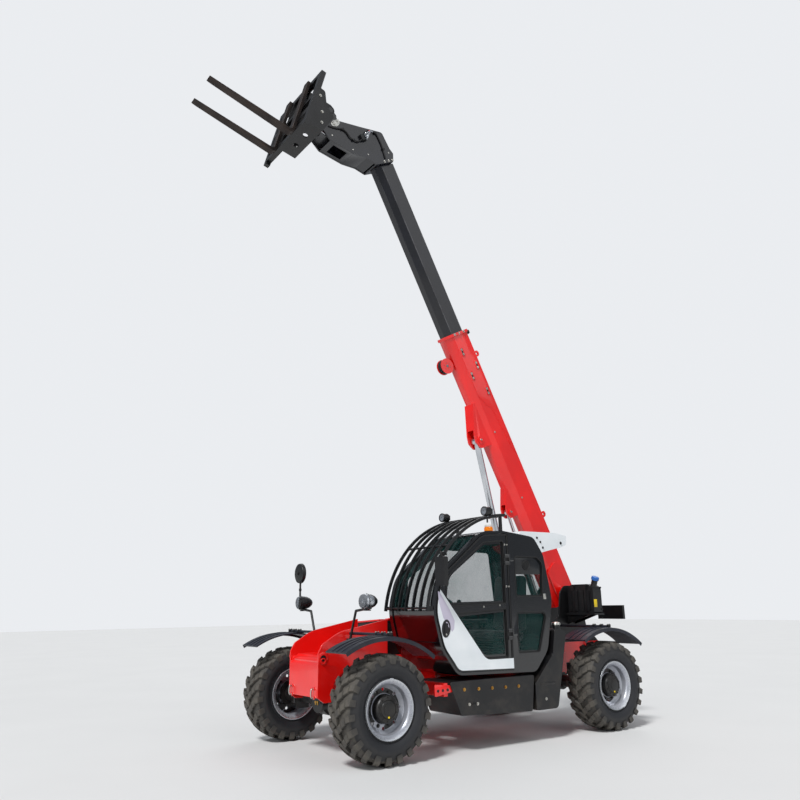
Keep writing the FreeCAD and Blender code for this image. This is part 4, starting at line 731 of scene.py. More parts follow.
def wheel(node):
    # The rim's own shape with its hub painted black and its outer lip in lighter silver as painted highlight, a
    # second lip in that silver, hub bolts, a valve and a marked hub plug.
    low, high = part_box(node)
    centre = (low + high) / 2
    outward = 1 if centre.y > 0 else -1

    def pick(point):
        away = math.hypot(point.x - centre.x, point.z - centre.z)
        out = (point.y - centre.y) * outward
        # material 2 is the outer lip in the lighter silver, a painted highlight
        return 1 if away < rim["hubRadius"] and out > rim["hubFrom"] else 2 if away > rim["lipRadius"] else 0

    dress(node, [silver, hubBlack, rimLitSilver], 0.0015, pick)

    def onWheel(radius, turn, out):
        return centre + Vector((math.cos(turn) * radius, out * outward, math.sin(turn) * radius))

    trim = Piece(node + "_trim")
    side = (0, outward, 0)
    trim.turned(centre, side, rim["lip"], steps=72, closed=True)
    trim.mat = 1
    trim.turned(centre, side, rim["hubLip"], steps=48, closed=True)
    trim.turned(centre, side, rim["hubCap"], steps=40)
    for key in ("hubBolts", "wheelBolts"):
        count, radius, out, size = rim[key]
        for turn in turns(count, 0.5):
            trim.bolt(onWheel(radius, turn, out), side, size, washer=key == "wheelBolts")
    trim.mat = 2
    inner, outer = (onWheel(radius, -math.pi / 2, out) for radius, out in rim["plug"])
    trim.rod(inner, outer, 0.01, segments=16, bevel=0.001)
    trim.mat = 3
    trim.pipe([onWheel(radius, rim["valveTurn"], out) for radius, out in rim["valve"]], 0.004, 10, 0.01)
    trim.done(node, [rimLitSilver, hubBlack, yellowPlate, zinc])


for hand in ("left", "right"):
    for end in ("front", "rear"):
        tyre("tyre_%s_%s" % (end, hand))
        wheel("wheel_%s_%s" % (end, hand))


print("stage: cab")
# Ceramic borders behind the panes' edges and seals round them, each in its own layer of y
edges = {
    "border": (1.0995, 1.1012), "seal": (1.1005, 1.112), "lip": (1.1195, 1.1225), "fixedWide": 18, "doorWide": 34,
    "rightBorder": (0.2812, 0.283), "rightSeal": (0.27, 0.2815), "rightLip": (0.259, 0.2625)
}


def windowEdge(piece, window, wide, border, seal, lip):
    piece.mat = 0
    ring(piece, rounded(window, 1), rounded(window, wide), *edges[border])
    piece.mat = 1
    ring(piece, rounded(window, 0.5), rounded(window, 11), *edges[seal])
    ring(piece, rounded(window, -9), rounded(window, 4), *edges[lip])


for node, windows, wide in (("cab_frame", (quarterTop, quarterLow), edges["fixedWide"]),
                            ("door_frame", (upperWindow, lowerWindow), edges["doorWide"])):
    piece = Piece("windowEdges_" + node)
    for window in windows:
        windowEdge(piece, window, wide, "border", "seal", "lip")
    piece.done(node, [frit, sealRubber])
piece = Piece("windowEdgesRight")
windowEdge(piece, rightWindow, edges["doorWide"], "rightBorder", "rightSeal", "rightLip")
# the smoked panel with its slatted vent, over the quarter window's glass
panel = {
    "outline": [(1152, 1900, 30), (1585, 1900, 8), (1585, 2105, 28), (1218, 2105, 58), (1128, 2036, 90)],
    "back": 1.1012, "face": 1.106, "vent": (1.395, 2.01), "slats": 3, "pitch": 0.012, "reach": 0.044,
    "bezel": [(0.062, -0.002), (0.062, 0.008), (0.056, 0.011), (0.05, 0.008), (0.046, 0.003), (0.0, 0.003)]
}
piece.mat = 2
sheetOf(piece, rounded(panel["outline"]), panel["back"], panel["face"])
piece.mat = 1
vent = at(panel["vent"][0], panel["face"], panel["vent"][1])
piece.turned(vent, (0, 1, 0), panel["bezel"], steps=40)
for row in range(-panel["slats"], panel["slats"] + 1):
    up = row * panel["pitch"]
    half = math.sqrt(panel["reach"] ** 2 - up ** 2)
    piece.boxAt(vent, (-half, 0.001, up - 0.003), (half, 0.007, up + 0.003), 0.001)
piece.done("cab_frame", [frit, sealRubber, smoked])

# Door: edge seal, a lilac patch of painted shade, oval handle plate with its lock, bolts, hinge plates. Places
# are (x, z)
door = {
    "outline": [(1702, 840, 30), (2500, 838, 150), (2726, 1094, 380), (2834, 1500, 470), (2730, 1864, 420),
                (2106, 2348, 270), (1702, 2372, 30)],
    "shadePatch": [(2.8, 1.7), (2.789, 1.582), (2.732, 1.415), (2.65, 1.3), (2.611, 1.264), (2.583, 1.293),
              (2.573, 1.383), (2.64, 1.5), (2.718, 1.612), (2.775, 1.69)],
    "bay": (2.745, 1.51), "bayCover": [(0.0622, 0.0), (0.0622, 0.0089), (0.0, 0.0089)],
    "handle": (2.697, 1.3), "handleLean": -8, "handleTall": 1.6, "lockBelow": 0.062,
    "handlePlate": [(0.06, 0.0085), (0.06, 0.013), (0.054, 0.0155), (0.048, 0.014), (0.044, 0.0105),
                    (0.0, 0.01)],
    "boltRows": (1.175, 1.246, 1.755, 2.245), "boltColumns": (1.712, 1.752),
    "barBolts": ((2.12, 1.526), (1.87, 1.54)), "hinges": (1.148, 2.008)
}
doorFace = 1.12
piece = Piece("doorTrim")
ring(piece, rounded(door["outline"], 0), rounded(door["outline"], 15), 1.119, 1.1275)
piece.mat = 4
piece.turned(at(door["bay"][0], doorFace, door["bay"][1]), (0, 1, 0), door["bayCover"], steps=48)
# the lilac patch of painted shade on the white door
piece.mat = 1
piece.plate(onPlane(1.1288, door["shadePatch"]), (0, 0.0012, 0), bevel=0.0)
piece.mat = 2
handle = at(door["handle"][0], 1.1195, door["handle"][1])
before = set(piece.mesh.faces)
piece.turned(handle, (0, 1, 0), door["handlePlate"], steps=48)
piece.boxAt(handle, (-0.02, 0.01, -0.03), (0.018, 0.019, 0.036), 0.006)
stretch = (Matrix.Translation(handle) @ Matrix.Rotation(math.radians(door["handleLean"]), 4, "Y")
           @ Matrix.Diagonal((1.0, 1.0, door["handleTall"], 1.0)))
bmesh.ops.transform(piece.mesh, matrix=stretch @ Matrix.Translation(-handle), verts=piece.vertsSince(before))
piece.mat = 3
lock = handle + Vector((0.004, 0.016, -door["lockBelow"]))
piece.rod(lock, lock + Vector((0, 0.004, 0)), 0.011, segments=20, bevel=0.001)
piece.boxAt(lock, (-0.0015, 0.0035, -0.006), (0.0015, 0.0045, 0.006), 0.0002)
piece.bolts([at(x, doorFace, z) for z in door["boltRows"] for x in door["boltColumns"]], (0, 1, 0), 0.016)
piece.bolts(onPlane(doorFace, door["barBolts"]), (0, 1, 0), 0.012)
piece.mat = 2
for low in door["hinges"]:
    piece.box(at(1.7, 1.1195, low + 0.004), at(1.766, 1.123, low + 0.122), 0.001)
piece.done("door_frame", [sealRubber, doorShadePaint, darkPlastic, zinc, white])

# Cab body: roof cap bolts, latch of the quarter window
capBolts = {"rear": ((1.185, 2.35), (1.13, 2.3), (1.09, 2.232)), "tail": ((0.76, 2.3),)}
piece = Piece("cabFittings")
piece.bolts([at(x, doorFace, z) for x, z in capBolts["rear"]], (0, 1, 0), 0.018)
piece.bolts([at(x, doorFace, z) for x, z in capBolts["tail"]], (0, 1, 0), 0.022)
piece.mat = 1
piece.box(at(1.092, 1.11, 1.606), at(1.136, 1.127, 1.672), 0.003)
piece.rod(at(1.114, 1.126, 1.64), at(1.114, 1.134, 1.64), 0.01, segments=20, bevel=0.001)
piece.done("cab_frame", [darkPlastic, zinc])

# Flashing beacon on the cab's roof: stalk, base, ribbed lens, pale top
beacon = {
    "foot": (1.52, 0.6, 2.384), "ribs": 20, "ribCircle": 0.0535, "ribSpan": (0.082, 0.118),
    "base": [(0.0, 0.048), (0.056, 0.048), (0.06, 0.054), (0.06, 0.072), (0.054, 0.078), (0.0, 0.078)],
    "lens": [(0.0, 0.078), (0.053, 0.078), (0.054, 0.098), (0.053, 0.118), (0.049, 0.132), (0.0, 0.132)],
    "top": [(0.0, 0.132), (0.05, 0.132), (0.05, 0.146), (0.04, 0.16), (0.02, 0.166), (0.0, 0.167)]
}
piece = Piece("beacon")
foot = at(*beacon["foot"])
piece.rod(foot, foot + Vector((0, 0, 0.05)), 0.016, segments=20)
piece.rod(foot + Vector((0, 0, -0.004)), foot + Vector((0, 0, 0.008)), 0.04, segments=28, bevel=0.002)
piece.turned(foot, (0, 0, 1), beacon["base"], steps=40)
piece.mat = 1
piece.turned(foot, (0, 0, 1), beacon["lens"], steps=40)
for turn in turns(beacon["ribs"]):
    low, high = (foot + Vector((math.cos(turn) * beacon["ribCircle"], math.sin(turn) * beacon["ribCircle"], z))
                 for z in beacon["ribSpan"])
    piece.rod(low, high, 0.003, segments=6)
piece.mat = 2
piece.turned(foot, (0, 0, 1), beacon["top"], steps=40)
piece.done("lamps", [darkPlastic, lensAmber, palePlate])


print("stage: lamps and mirrors")
# Bullet-shaped head lamps over the source's cans: each clear lens wraps from the front to the outer side
headLamps = {
    "place": (3.48, 0.73, 1.6), "faces": (0.62, 0.78, 0.1), "lensFrom": (0.012, 0.016), "mirrorFrom": 0.032,
    "shell": [(0.0, 0.078), (0.048, 0.074), (0.068, 0.062), (0.077, 0.04), (0.079, 0.0), (0.074, -0.05),
              (0.058, -0.092), (0.034, -0.122), (0.012, -0.136), (0.0, -0.138)],
    "swell": (1.035, 1.03), "rims": ((0.072, 0.05), (0.0835, 0.01), (0.074, -0.06)),
    "stub": ((-0.01, 0, -0.095), (-0.01, 0, -0.06))
}


def headLamp(side):
    x, y, z = headLamps["place"]
    centre = at(x, y * side, z)
    facing = Vector((headLamps["faces"][0], headLamps["faces"][1] * side, headLamps["faces"][2]))
    name = "Left" if side > 0 else "Right"
    piece = Piece("headLampShell" + name)
    piece.turned(centre, (1, 0, 0), [(0.0, 0.066)] + headLamps["shell"][3:], steps=48)
    low, high = (centre + Vector(point) for point in headLamps["stub"])
    piece.rod(low, high, 0.022, segments=24, bevel=0.003)
    piece.boxAt(centre, (-0.045, -0.02, -0.1), (0.025, 0.02, -0.088), 0.003)
    for face in piece.mesh.faces:
        # the bright reflector under the lens
        if (face.calc_center_median() - centre).dot(facing) > headLamps["mirrorFrom"]:
            face.material_index = 1
    piece.done("lamps", [darkPlastic, chrome])
    lens = Piece("headLampLens" + name)
    wider, longer = headLamps["swell"]
    shell = [(radius * wider, along * longer) for radius, along in headLamps["shell"]]
    lens.turned(centre, (1, 0, 0), shell, steps=64)
    lens.mat = 1
    for radius, along in headLamps["rims"]:
        # dark rims that part the lens
        band = [(radius, along + 0.004), (radius + 0.003, along), (radius, along - 0.004)]
        lens.turned(centre, (1, 0, 0), band, steps=64)
    cutAt = Vector((headLamps["lensFrom"][0], headLamps["lensFrom"][1] * side, 0))
    bmesh.ops.bisect_plane(lens.mesh, geom=everything(lens), plane_co=centre + cutAt, plane_no=facing,
                           clear_inner=True)
    lens.done("lamps", [lensClear, darkPlastic], recalc=False)


for side in (1, -1):
    headLamp(side)

# Work lamps on the guard: bezel, finned housing, lens, reflector
workLamps = {
    "y": (0.293, 1.099), "z": 2.635, "front": 2.035, "back": 1.955, "foot": (1.99, 2.571), "fins": 3,
    "bezel": [(0.046, 0.01), (0.052, 0.012), (0.0565, 0.006), (0.0565, -0.012), (0.0515, -0.016)],
    "housing": [(0.0525, -0.01), (0.053, 0.004), (0.044, 0.018), (0.02, 0.026), (0.0, 0.027)],
    "lens": [(0.0475, 0.004), (0.04, 0.01), (0.022, 0.015), (0.0, 0.016)],
    "reflector": [(0.046, 0.005), (0.034, 0.001), (0.012, 0.0), (0.0, 0.0)]
}
piece = Piece("workLamps")
for y in workLamps["y"]:
    front, back = at(workLamps["front"], y, workLamps["z"]), at(workLamps["back"], y, workLamps["z"])
    piece.mat = 0
    piece.turned(front, (1, 0, 0), workLamps["bezel"], steps=48)
    piece.turned(back, (-1, 0, 0), workLamps["housing"], steps=40)
    for fin in range(-workLamps["fins"], workLamps["fins"] + 1):
        piece.boxAt(back, (-0.026, fin * 0.012 - 0.002, -0.03), (0.004, fin * 0.012 + 0.002, 0.03), 0.001)
    piece.mat = 1
    piece.turned(front, (1, 0, 0), workLamps["lens"], steps=48)
    piece.mat = 2
    piece.turned(front, (1, 0, 0), workLamps["reflector"], steps=40)
    piece.bolt(at(workLamps["foot"][0], y, workLamps["foot"][1]), (0, 0, 1), 0.018)
piece.done("lamps", [darkPlastic, lensClear, chrome])

# Rear lamps: each lens by its material, first and last y, low and high z; then the dark frame round them
rearLamps = {
    "lenses": ((1, 0.252, 0.395, 1.342, 1.508), (2, 0.402, 0.53, 1.342, 1.508),
               (3, 0.537, 0.68, 1.43, 1.508), (1, 0.537, 0.68, 1.342, 1.422)),
    "frame": (0.243, 0.689, 1.331, 1.519)
}
piece = Piece("rearLampLenses")
for side in (1, -1):
    for material, near, far, low, high in rearLamps["lenses"]:
        piece.mat = material
        y0, y1 = sorted((near * side, far * side))
        piece.box(at(-0.952, y0, low), at(-0.938, y1, high), 0.004)
    piece.mat = 0
    near, far, low, high = rearLamps["frame"]
    y0, y1 = sorted((near * side, far * side))
    outline = [(y0, low), (y1, low), (y1, high), (y0, high)]
    for (ya, za), (yb, zb) in zip(outline, outline[1:] + outline[:1]):
        piece.box(at(-0.946, min(ya, yb) - 0.001, min(za, zb) - 0.001),
                  at(-0.939, max(ya, yb) + 0.001, max(za, zb) + 0.001), 0.0)
piece.done("lamps", [darkPlastic, lensRed, lensAmber, lensClear])

# Mirrors: the round one on the right lamp's stalk and the tall one at the cab
mirrors = {
    "glass": (3.47, -0.8, 1.96), "shell": (3.5, -0.8, 1.96), "collars": (1.745, 1.975),
    "rim": [(0.121, -0.022), (0.124, 0.001), (0.119, 0.006), (0.112, 0.003)],
    "dome": [(0.122, -0.012), (0.11, 0.006), (0.06, 0.014), (0.0, 0.016)],
    "pane": [(0.113, 0.002), (0.08, 0.0035), (0.0, 0.004)]
}
glass, shell = at(*mirrors["glass"]), at(*mirrors["shell"])
piece = Piece("mirrorFaces")
piece.turned(glass, (-1, 0, 0), mirrors["rim"], steps=64)
piece.turned(shell, (1, 0, 0), mirrors["dome"], steps=64)
piece.rod(shell, shell + Vector((0.03, 0, 0)), 0.018, segments=20, bevel=0.002)
piece.box(at(2.786, 1.158, 1.758), at(2.79, 1.302, 2.062), 0.001)
for z in mirrors["collars"]:
    piece.rod(at(3.48, -0.8, z), at(3.48, -0.8, z + 0.03), 0.017, segments=20, bevel=0.002)
piece.mat = 1
piece.turned(glass, (-1, 0, 0), mirrors["pane"], steps=64)
piece.box(at(2.7845, 1.166, 1.766), at(2.7865, 1.294, 2.054), 0.0)
piece.mat = 0
# bracket and pivot of the cab's mirror
piece.box(at(2.8, 1.205, 2.064), at(2.84, 1.255, 2.09), 0.004)
piece.rod(at(2.82, 1.23, 2.085), at(2.82, 1.23, 2.128), 0.016, segments=20, bevel=0.002)
piece.done("cab_mirror", [darkPlastic, mirrorGlass])


print("stage: boom fittings")


def boomPlate(piece, outline, y0, y1, bevel=0.0015):
    # A flat outline of the boom's side (u, w), thick from y0 to y1.
    piece.plate(onSide(y0, outline), (0, y1 - y0, 0), bevel=bevel)


def boomBox(piece, low, high, bevel=0.003):
    # A box in the boom's own directions: low and high corners as (u, y, w).
    middle = [(a + b) / 2 for a, b in zip(low, high)]
    half = [(b - a) / 2 for a, b in zip(low, high)]
    turn = Matrix.Translation(onBoom(*middle)) @ Matrix.Rotation(-boomTurn, 4, "Y")
    piece.box([-value for value in half], half, bevel, turn)


def boxOutline(u0, w0, u1, w1):
    return [(u0, w0), (u1, w0), (u1, w1), (u0, w1)]


# Outer section: doublers, slots, plugs, reel, roller arm and steel lines. Places are (u, w)
outer = {
    "face": 0.13, "doubler": [(4.045, -0.075), (3.13, -0.072), (2.964, 0.013), (2.875, 0.093), (2.229, 0.157),
                              (2.12, 0.205), (4.045, 0.205)],
    "slots": ((3.8, -0.028), (3.428, -0.028), (3.545, 0.14), (3.14, 0.14)),
    "slotFrame": (0.07, 0.03), "slotHole": (0.056, 0.013), "slotBolts": (-0.034, 0.034),
    "plugs": ((2.56, -0.04), (1.535, -0.04), (0.8, -0.04)), "collarBolts": (-0.05, 0.045, 0.14),
    "reel": (3.7, -0.325), "coilRows": (-0.032, -0.016, 0.0, 0.016, 0.032), "coilRadii": (0.079, 0.094),
    "cord": 0.0075, "reelBolts": 6, "reelCircle": 0.052, "roller": (4.045, 0.325),
    "rollerProfile": [(0.014, -0.04), (0.034, -0.04), (0.024, -0.01), (0.024, 0.01), (0.034, 0.04),
                      (0.014, 0.04)],
    "lines": (0.005, 0.03, 0.055), "lineSpan": (0.56, 3.05), "clamps": (0.7, 1.25, 1.8, 2.35, 2.9),
    "greasePoints": ((2.55, -0.315, 0.104), (1.43, -0.295, 0.078))
}
piece = Piece("boomFittings")
for side in (1, -1):
    face = outer["face"] * side
    piece.mat = 0
    boomPlate(piece, outer["doubler"], face - 0.002 * side, face + 0.0045 * side)
    for u, w in outer["slots"]:
        for material, (long, tall), proud, bevel in ((0, outer["slotFrame"], 0.009, 0.003),
                                                     (1, outer["slotHole"], 0.0096, 0.0)):
            piece.mat = material
            boomPlate(piece, boxOutline(u - long, w - tall, u + long, w + tall), face, face + proud * side, bevel)
        piece.mat = 2
        for shift in outer["slotBolts"]:
            piece.bolt(onBoom(u + shift, face + 0.0095 * side, w), (0, side, 0), 0.022)
    for u, w in outer["plugs"]:
        piece.rod(onBoom(u, face, w), onBoom(u, face + 0.006 * side, w), 0.013, segments=24, bevel=0.001)
    for w in outer["collarBolts"]:
        piece.bolt(onBoom(4.07, 0.15 * side, w), (0, side, 0), 0.022)
    piece.mat = 3
    # end of the root pin
    piece.rod(onBoom(0, 0.2585 * side, 0), onBoom(0, 0.2625 * side, 0), 0.04, segments=32, bevel=0.001)
# cable coil between the reel's flanges, and its spindle
reelU, reelW = outer["reel"]
piece.mat = 1
for across in outer["coilRows"]:
    for radius in outer["coilRadii"]:
        coil = [(radius + outer["cord"] * math.cos(turn), across + outer["cord"] * math.sin(turn))
                for turn in turns(8)]
        piece.turned(onBoom(reelU, 0, reelW), (0, 1, 0), coil, steps=40, closed=True)
piece.mat = 3
piece.rod(onBoom(reelU, -0.058, reelW), onBoom(reelU, 0.058, reelW), 0.02, segments=24, bevel=0.002)
for side in (1, -1):
    for turn in turns(outer["reelBolts"]):
        spot = onBoom(reelU + outer["reelCircle"] * math.cos(turn), 0.052 * side,
                      reelW + outer["reelCircle"] * math.sin(turn))
        piece.bolt(spot, (0, side, 0), 0.01, washer=False)
# black roller arm on the collar's top
rollerU, rollerW = outer["roller"]
piece.mat = 1
boomBox(piece, (3.985, -0.06, 0.212), (4.085, 0.06, 0.252))
for side in (1, -1):
    boomBox(piece, (4.02, side * 0.048 - 0.006, 0.24), (4.07, side * 0.048 + 0.006, 0.35), 0.002)
piece.rod(onBoom(rollerU, -0.058, rollerW), onBoom(rollerU, 0.058, rollerW), 0.013, segments=20, bevel=0.001)
piece.turned(onBoom(rollerU, 0, rollerW), (0, 1, 0), outer["rollerProfile"], steps=32)
# steel lines on the far side, the last one a hose, in clamps
for row, w in enumerate(outer["lines"]):
    piece.mat = 3 if row < 2 else 1
    piece.pipe([onBoom(u, -0.142, w) for u in outer["lineSpan"]], 0.008, 10)
piece.mat = 1
for u in outer["clamps"]:
    boomBox(piece, (u - 0.02, -0.156, -0.014), (u + 0.02, -0.129, 0.074), 0.003)
piece.mat = 2
for u, w, y in outer["greasePoints"]:
    for side in (1, -1):
        piece.rod(onBoom(u, y * side * 0.98, w), onBoom(u, (y + 0.012) * side, w), 0.016, 0.012, segments=20)
piece.done("boom_outer", [red, darkPlastic, zinc, steelLine])

# Inner section: greased wear tracks (low w, high w, outer y) and the head's bolts
track = {
    "span": (4.12, 6.66), "wall": 0.1075, "strips": ((-0.069, -0.052, 0.1092), (0.146, 0.16, 0.1088)),
    "bolts": (-0.03, 0.05, 0.125)
}
piece = Piece("stageTrack")
for side in (1, -1):
    for low, high, face in track["strips"]:
        strip = boxOutline(track["span"][0], low, track["span"][1], high)
        boomPlate(piece, strip, track["wall"] * side, face * side, 0.0)
piece.mat = 1
for side in (1, -1):
    piece.bolts([onBoom(6.725, 0.165 * side, w) for w in track["bolts"]], (0, side, 0), 0.022)
piece.done("boom_stage", [greasedSteel, zinc])

print("stage: head and carriage")
# Head: blank white plate, hydraulic block with elbows and a red cap, hoses in clips. Places are (u, w)
# or (u, y, w)
head = {
    "tag": [(7.325, -0.69), (7.313, -0.605), (7.355, -0.545), (7.412, -0.54), (7.405, -0.645), (7.365, -0.7)],
    "tagBolts": ((7.345, -0.65), (7.385, -0.58), (7.375, -0.66)), "elbows": (0.0, 0.034, 0.068),
    "block": ((7.06, 0.165, -0.3), (7.15, 0.205, -0.2)), "elbowRoot": (7.07, -0.225),
    "hoses": (((7.075, 0.185, -0.298), (7.05, 0.184, -0.38), (7.12, 0.18, -0.48), (7.215, 0.178, -0.5),
               (7.27, 0.178, -0.56), (7.285, 0.176, -0.65), (7.33, 0.17, -0.76)),
              ((7.14, 0.185, -0.21), (7.2, 0.19, -0.15), (7.19, 0.18, -0.03), (7.12, 0.176, 0.02),
               (6.96, 0.176, 0.03), (6.76, 0.176, 0.0))),
    "clips": ((7.09, -0.44), (7.262, -0.548), (7.15, -0.004), (6.9, 0.026)),
    "plugs": ((6.84, 0.11), (6.86, -0.27), (6.96, -0.5), (7.2, -0.755)),
    "union": [(0.0, 0.0), (0.015, 0.0), (0.015, 0.012), (0.01, 0.015)],
    "cap": ((7.152, 0.226, -0.148), (7.17, 0.225, -0.135))
}
piece = Piece("headFittings")
piece.plate(onSide(0.1655, head["tag"]), (0, 0.006, 0), bevel=0.001)
piece.mat = 1
piece.bolts(onSide(0.1715, head["tagBolts"]), (0, 1, 0), 0.02)
piece.mat = 2
boomBox(piece, *head["block"], 0.004)
piece.mat = 3
for shift in head["elbows"]:
    u, w = head["elbowRoot"][0] + shift, head["elbowRoot"][1]
    piece.pipe([onBoom(u, 0.2, w), onBoom(u, 0.228, w), onBoom(7.1 + shift, 0.232, -0.19 + shift),
                onBoom(7.15, 0.226, -0.15 + shift)], 0.009, 12, 0.018)
    piece.turned(onBoom(u, 0.203, w), (0, 1, 0), head["union"], steps=6)
piece.mat = 4
piece.rod(*(onBoom(*point) for point in head["cap"]), 0.013, segments=20, bevel=0.002)
piece.mat = 5
for hose in head["hoses"]:
    piece.pipe([onBoom(*point) for point in hose], 0.0095, 12, 0.06)
piece.mat = 6
for u, w in head["clips"]:
    boomBox(piece, (u - 0.014, 0.164, w - 0.018), (u + 0.014, 0.193, w + 0.018), 0.003)
piece.mat = 1
for side in (1, -1):
    for u, w in head["plugs"]:
        piece.rod(onBoom(u, 0.165 * side, w), onBoom(u, 0.169 * side, w), 0.012, segments=20, bevel=0.001)
piece.done("boom_head", [palePlate, zinc, darkPlastic, chrome, redCap, hoseRubber, satin])

# Carriage: coupler bolts (x, z), keeper rings of the pivot pin, a latch on each fork's heel
coupler = {
    "bolts": ((0.12, -0.44), (0.16, -0.28), (0.25, -0.06)), "latches": (-0.254, 0.254),
    "latch": (0.3, 0.036, 0.128),
    "keeper": [(0.037, 0.0), (0.062, 0.0), (0.062, 0.004), (0.058, 0.006), (0.037, 0.006)]
}
piece = Piece("carriageFittings")
for side in (1, -1):
    piece.mat = 0
    piece.bolts([onCarriage(x, 0.38 * side, z) for x, z in coupler["bolts"]], (0, side, 0), 0.024)
    piece.mat = 1
    piece.turned(onCarriage(0, 0.202 * side, 0), (0, side, 0), coupler["keeper"], steps=40)
for y in coupler["latches"]:
    x, half, z = coupler["latch"]
    piece.rod(onCarriage(x, y - half, z), onCarriage(x, y + half, z), 0.012, segments=16, bevel=0.001)
piece.done("carriage", [zinc, satin])


print("stage: nose, fenders, sides")
# Nose: doublers round the pin bores, tie-down hooks, brass fittings under the beam
nose = {
    "pin": (3.79, 0.33, 1.005), "hookY": 0.25, "hookZ": (0.69, 0.6), "fittingsY": (0.03, 0.075),
    "doubler": [(0.034, 0.0), (0.062, 0.0), (0.062, 0.006), (0.056, 0.009), (0.034, 0.009)],
    "boreEnd": [(0.0, 0.003), (0.0345, 0.003), (0.0345, 0.001), (0.0, 0.001)],
    "fitting": [(0.0, 0.0), (0.016, 0.0), (0.016, 0.018), (0.01, 0.022), (0.01, 0.04), (0.0, 0.042)],
    "hook": ((3.852, 0.69), (3.885, 0.69), (3.89, 0.64), (3.885, 0.6), (3.852, 0.6))
}
piece = Piece("noseFittings")
for side in (1, -1):
    pin = at(nose["pin"][0], nose["pin"][1] * side, nose["pin"][2])
    y = nose["hookY"] * side
    piece.mat = 0
    piece.turned(pin, (0, side, 0), nose["doubler"], steps=40)
    piece.mat = 1
    piece.turned(pin, (0, side, 0), nose["boreEnd"], steps=32)
    piece.mat = 2
    piece.pipe(onPlane(y, nose["hook"]), 0.009, 12, 0.02)
    piece.mat = 0
    for z in nose["hookZ"]:
        piece.rod(at(3.848, y, z), at(3.856, y, z), 0.02, segments=20, bevel=0.001)
piece.mat = 3
for y in nose["fittingsY"]:
    piece.turned(at(3.7, y, 0.54), (0, 0, -1), nose["fitting"], steps=6)
piece.done("nose", [red, darkPlastic, zinc, brass])

# Clamps that hold the fenders on their tubes, two bolts each
clamps = {"axles": (3.5, 0.0), "y": (0.87, 0.99, 1.11), "bolts": (-0.0765, -0.0435)}
piece = Piece("fenderClamps")
for axle in clamps["axles"]:
    for side in (1, -1):
        for y in clamps["y"]:
            piece.mat = 0
            piece.box(at(axle - 0.084, y * side - 0.016, 1.244), at(axle - 0.036, y * side + 0.016, 1.281), 0.005)
            piece.mat = 1
            piece.bolts([at(axle + x, y * side, 1.28) for x in clamps["bolts"]], (0, 0, 1), 0.014)
piece.done("fenders", [darkPlastic, zinc])

# Side box and tank: edge bolts, handle, filler, straps, red step plate. Places are (x, z)
sides = {
    "face": 1.15, "brassBolts": ((2.481, 0.656), (2.272, 0.65), (2.071, 0.645), (1.866, 0.641), (1.661, 0.638)),
    "zincBolts": ((2.414, 0.5), (2.295, 0.497), (1.22, 0.468)),
    "handle": ((2.33, 1.153), (2.33, 1.178), (2.38, 1.178), (2.38, 1.153)), "handleZ": 0.5,
    "filler": [(0.0, 0.03), (0.034, 0.03), (0.052, 0.024), (0.056, 0.016), (0.056, -0.004), (0.049, -0.006)],
    "straps": ((1.3, 0.62), (1.09, 0.94)),
    "step": [(2.645, 0.642), (2.86, 0.608), (2.882, 0.612), (2.884, 0.724), (2.872, 0.73), (2.645, 0.71)],
    "stepHoles": ((2.706, 0.668), (2.772, 0.666), (2.838, 0.664)),
    "hole": [(0.0, 0.0003), (0.013, 0.0003), (0.013, 0.001), (0.016, 0.0012), (0.016, -0.0005)]
}
piece = Piece("sideFittings")
piece.mat = 3
piece.bolts(onPlane(sides["face"], sides["brassBolts"]), (0, 1, 0), 0.022)
piece.mat = 2
piece.bolts(onPlane(sides["face"], sides["zincBolts"]), (0, 1, 0), 0.02)
piece.mat = 1
piece.box(at(2.318, 1.149, 0.484), at(2.392, 1.156, 0.516), 0.003)
piece.pipe([at(x, y, sides["handleZ"]) for x, y in sides["handle"]], 0.006, 10, 0.012)
piece.mat = 2
piece.turned(at(0.9, 1.08, 1.3), (0, 0, 1), sides["filler"], steps=40)
piece.box(at(0.872, 1.072, 1.328), at(0.928, 1.088, 1.336), 0.003)
piece.mat = 1
for end, z in sides["straps"]:
    piece.box(at(1.06, 1.1495, z), at(end, 1.1545, z + 0.03), 0.001)
piece.mat = 0
piece.plate(onPlane(1.1295, sides["step"]), (0, 0.008, 0), bevel=0.0015)
piece.mat = 1
for x, z in sides["stepHoles"]:
    piece.turned(at(x, 1.1374, z), (0, 1, 0), sides["hole"], steps=24)
piece.done("side_box", [red, satin, zinc, brass])

# Fluid tank: ribbed blue cap on its leaning neck, blank yellow plate, straps, bolts
tank = {
    "neck": ((-0.335, 0.665, 1.75), (-0.335, 0.712, 1.872)), "ribs": 16, "ribCircle": 0.0508,
    "cap": [(0.0445, -0.012), (0.05, -0.01), (0.0515, 0.03), (0.047, 0.038), (0.02, 0.041), (0.0, 0.041)],
    "straps": (0.38, 0.6), "bolts": (1.47, 1.76)
}
piece = Piece("tankFittings")
neck, mouth = (at(*point) for point in tank["neck"])
lean = (mouth - neck).normalized()
piece.turned(mouth, lean, tank["cap"], steps=40)
for turn in turns(tank["ribs"]):
    arm = Matrix.Rotation(turn, 3, lean) @ lean.orthogonal().normalized() * tank["ribCircle"]
    piece.rod(mouth + arm - lean * 0.004, mouth + arm + lean * 0.026, 0.0035, segments=6)
piece.mat = 1
piece.box(at(-0.318, 0.7295, 1.5), at(-0.258, 0.733, 1.604), 0.001)
piece.mat = 2
for y in tank["straps"]:
    piece.box(at(-0.236, y - 0.02, 1.42), at(-0.2335, y + 0.02, 1.806), 0.001)
piece.bolts([at(-0.41, 0.73, z) for z in tank["bolts"]], (0, 1, 0), 0.018)
piece.done("fluid_tank", [bluePlastic, yellowPlate, darkPlastic])

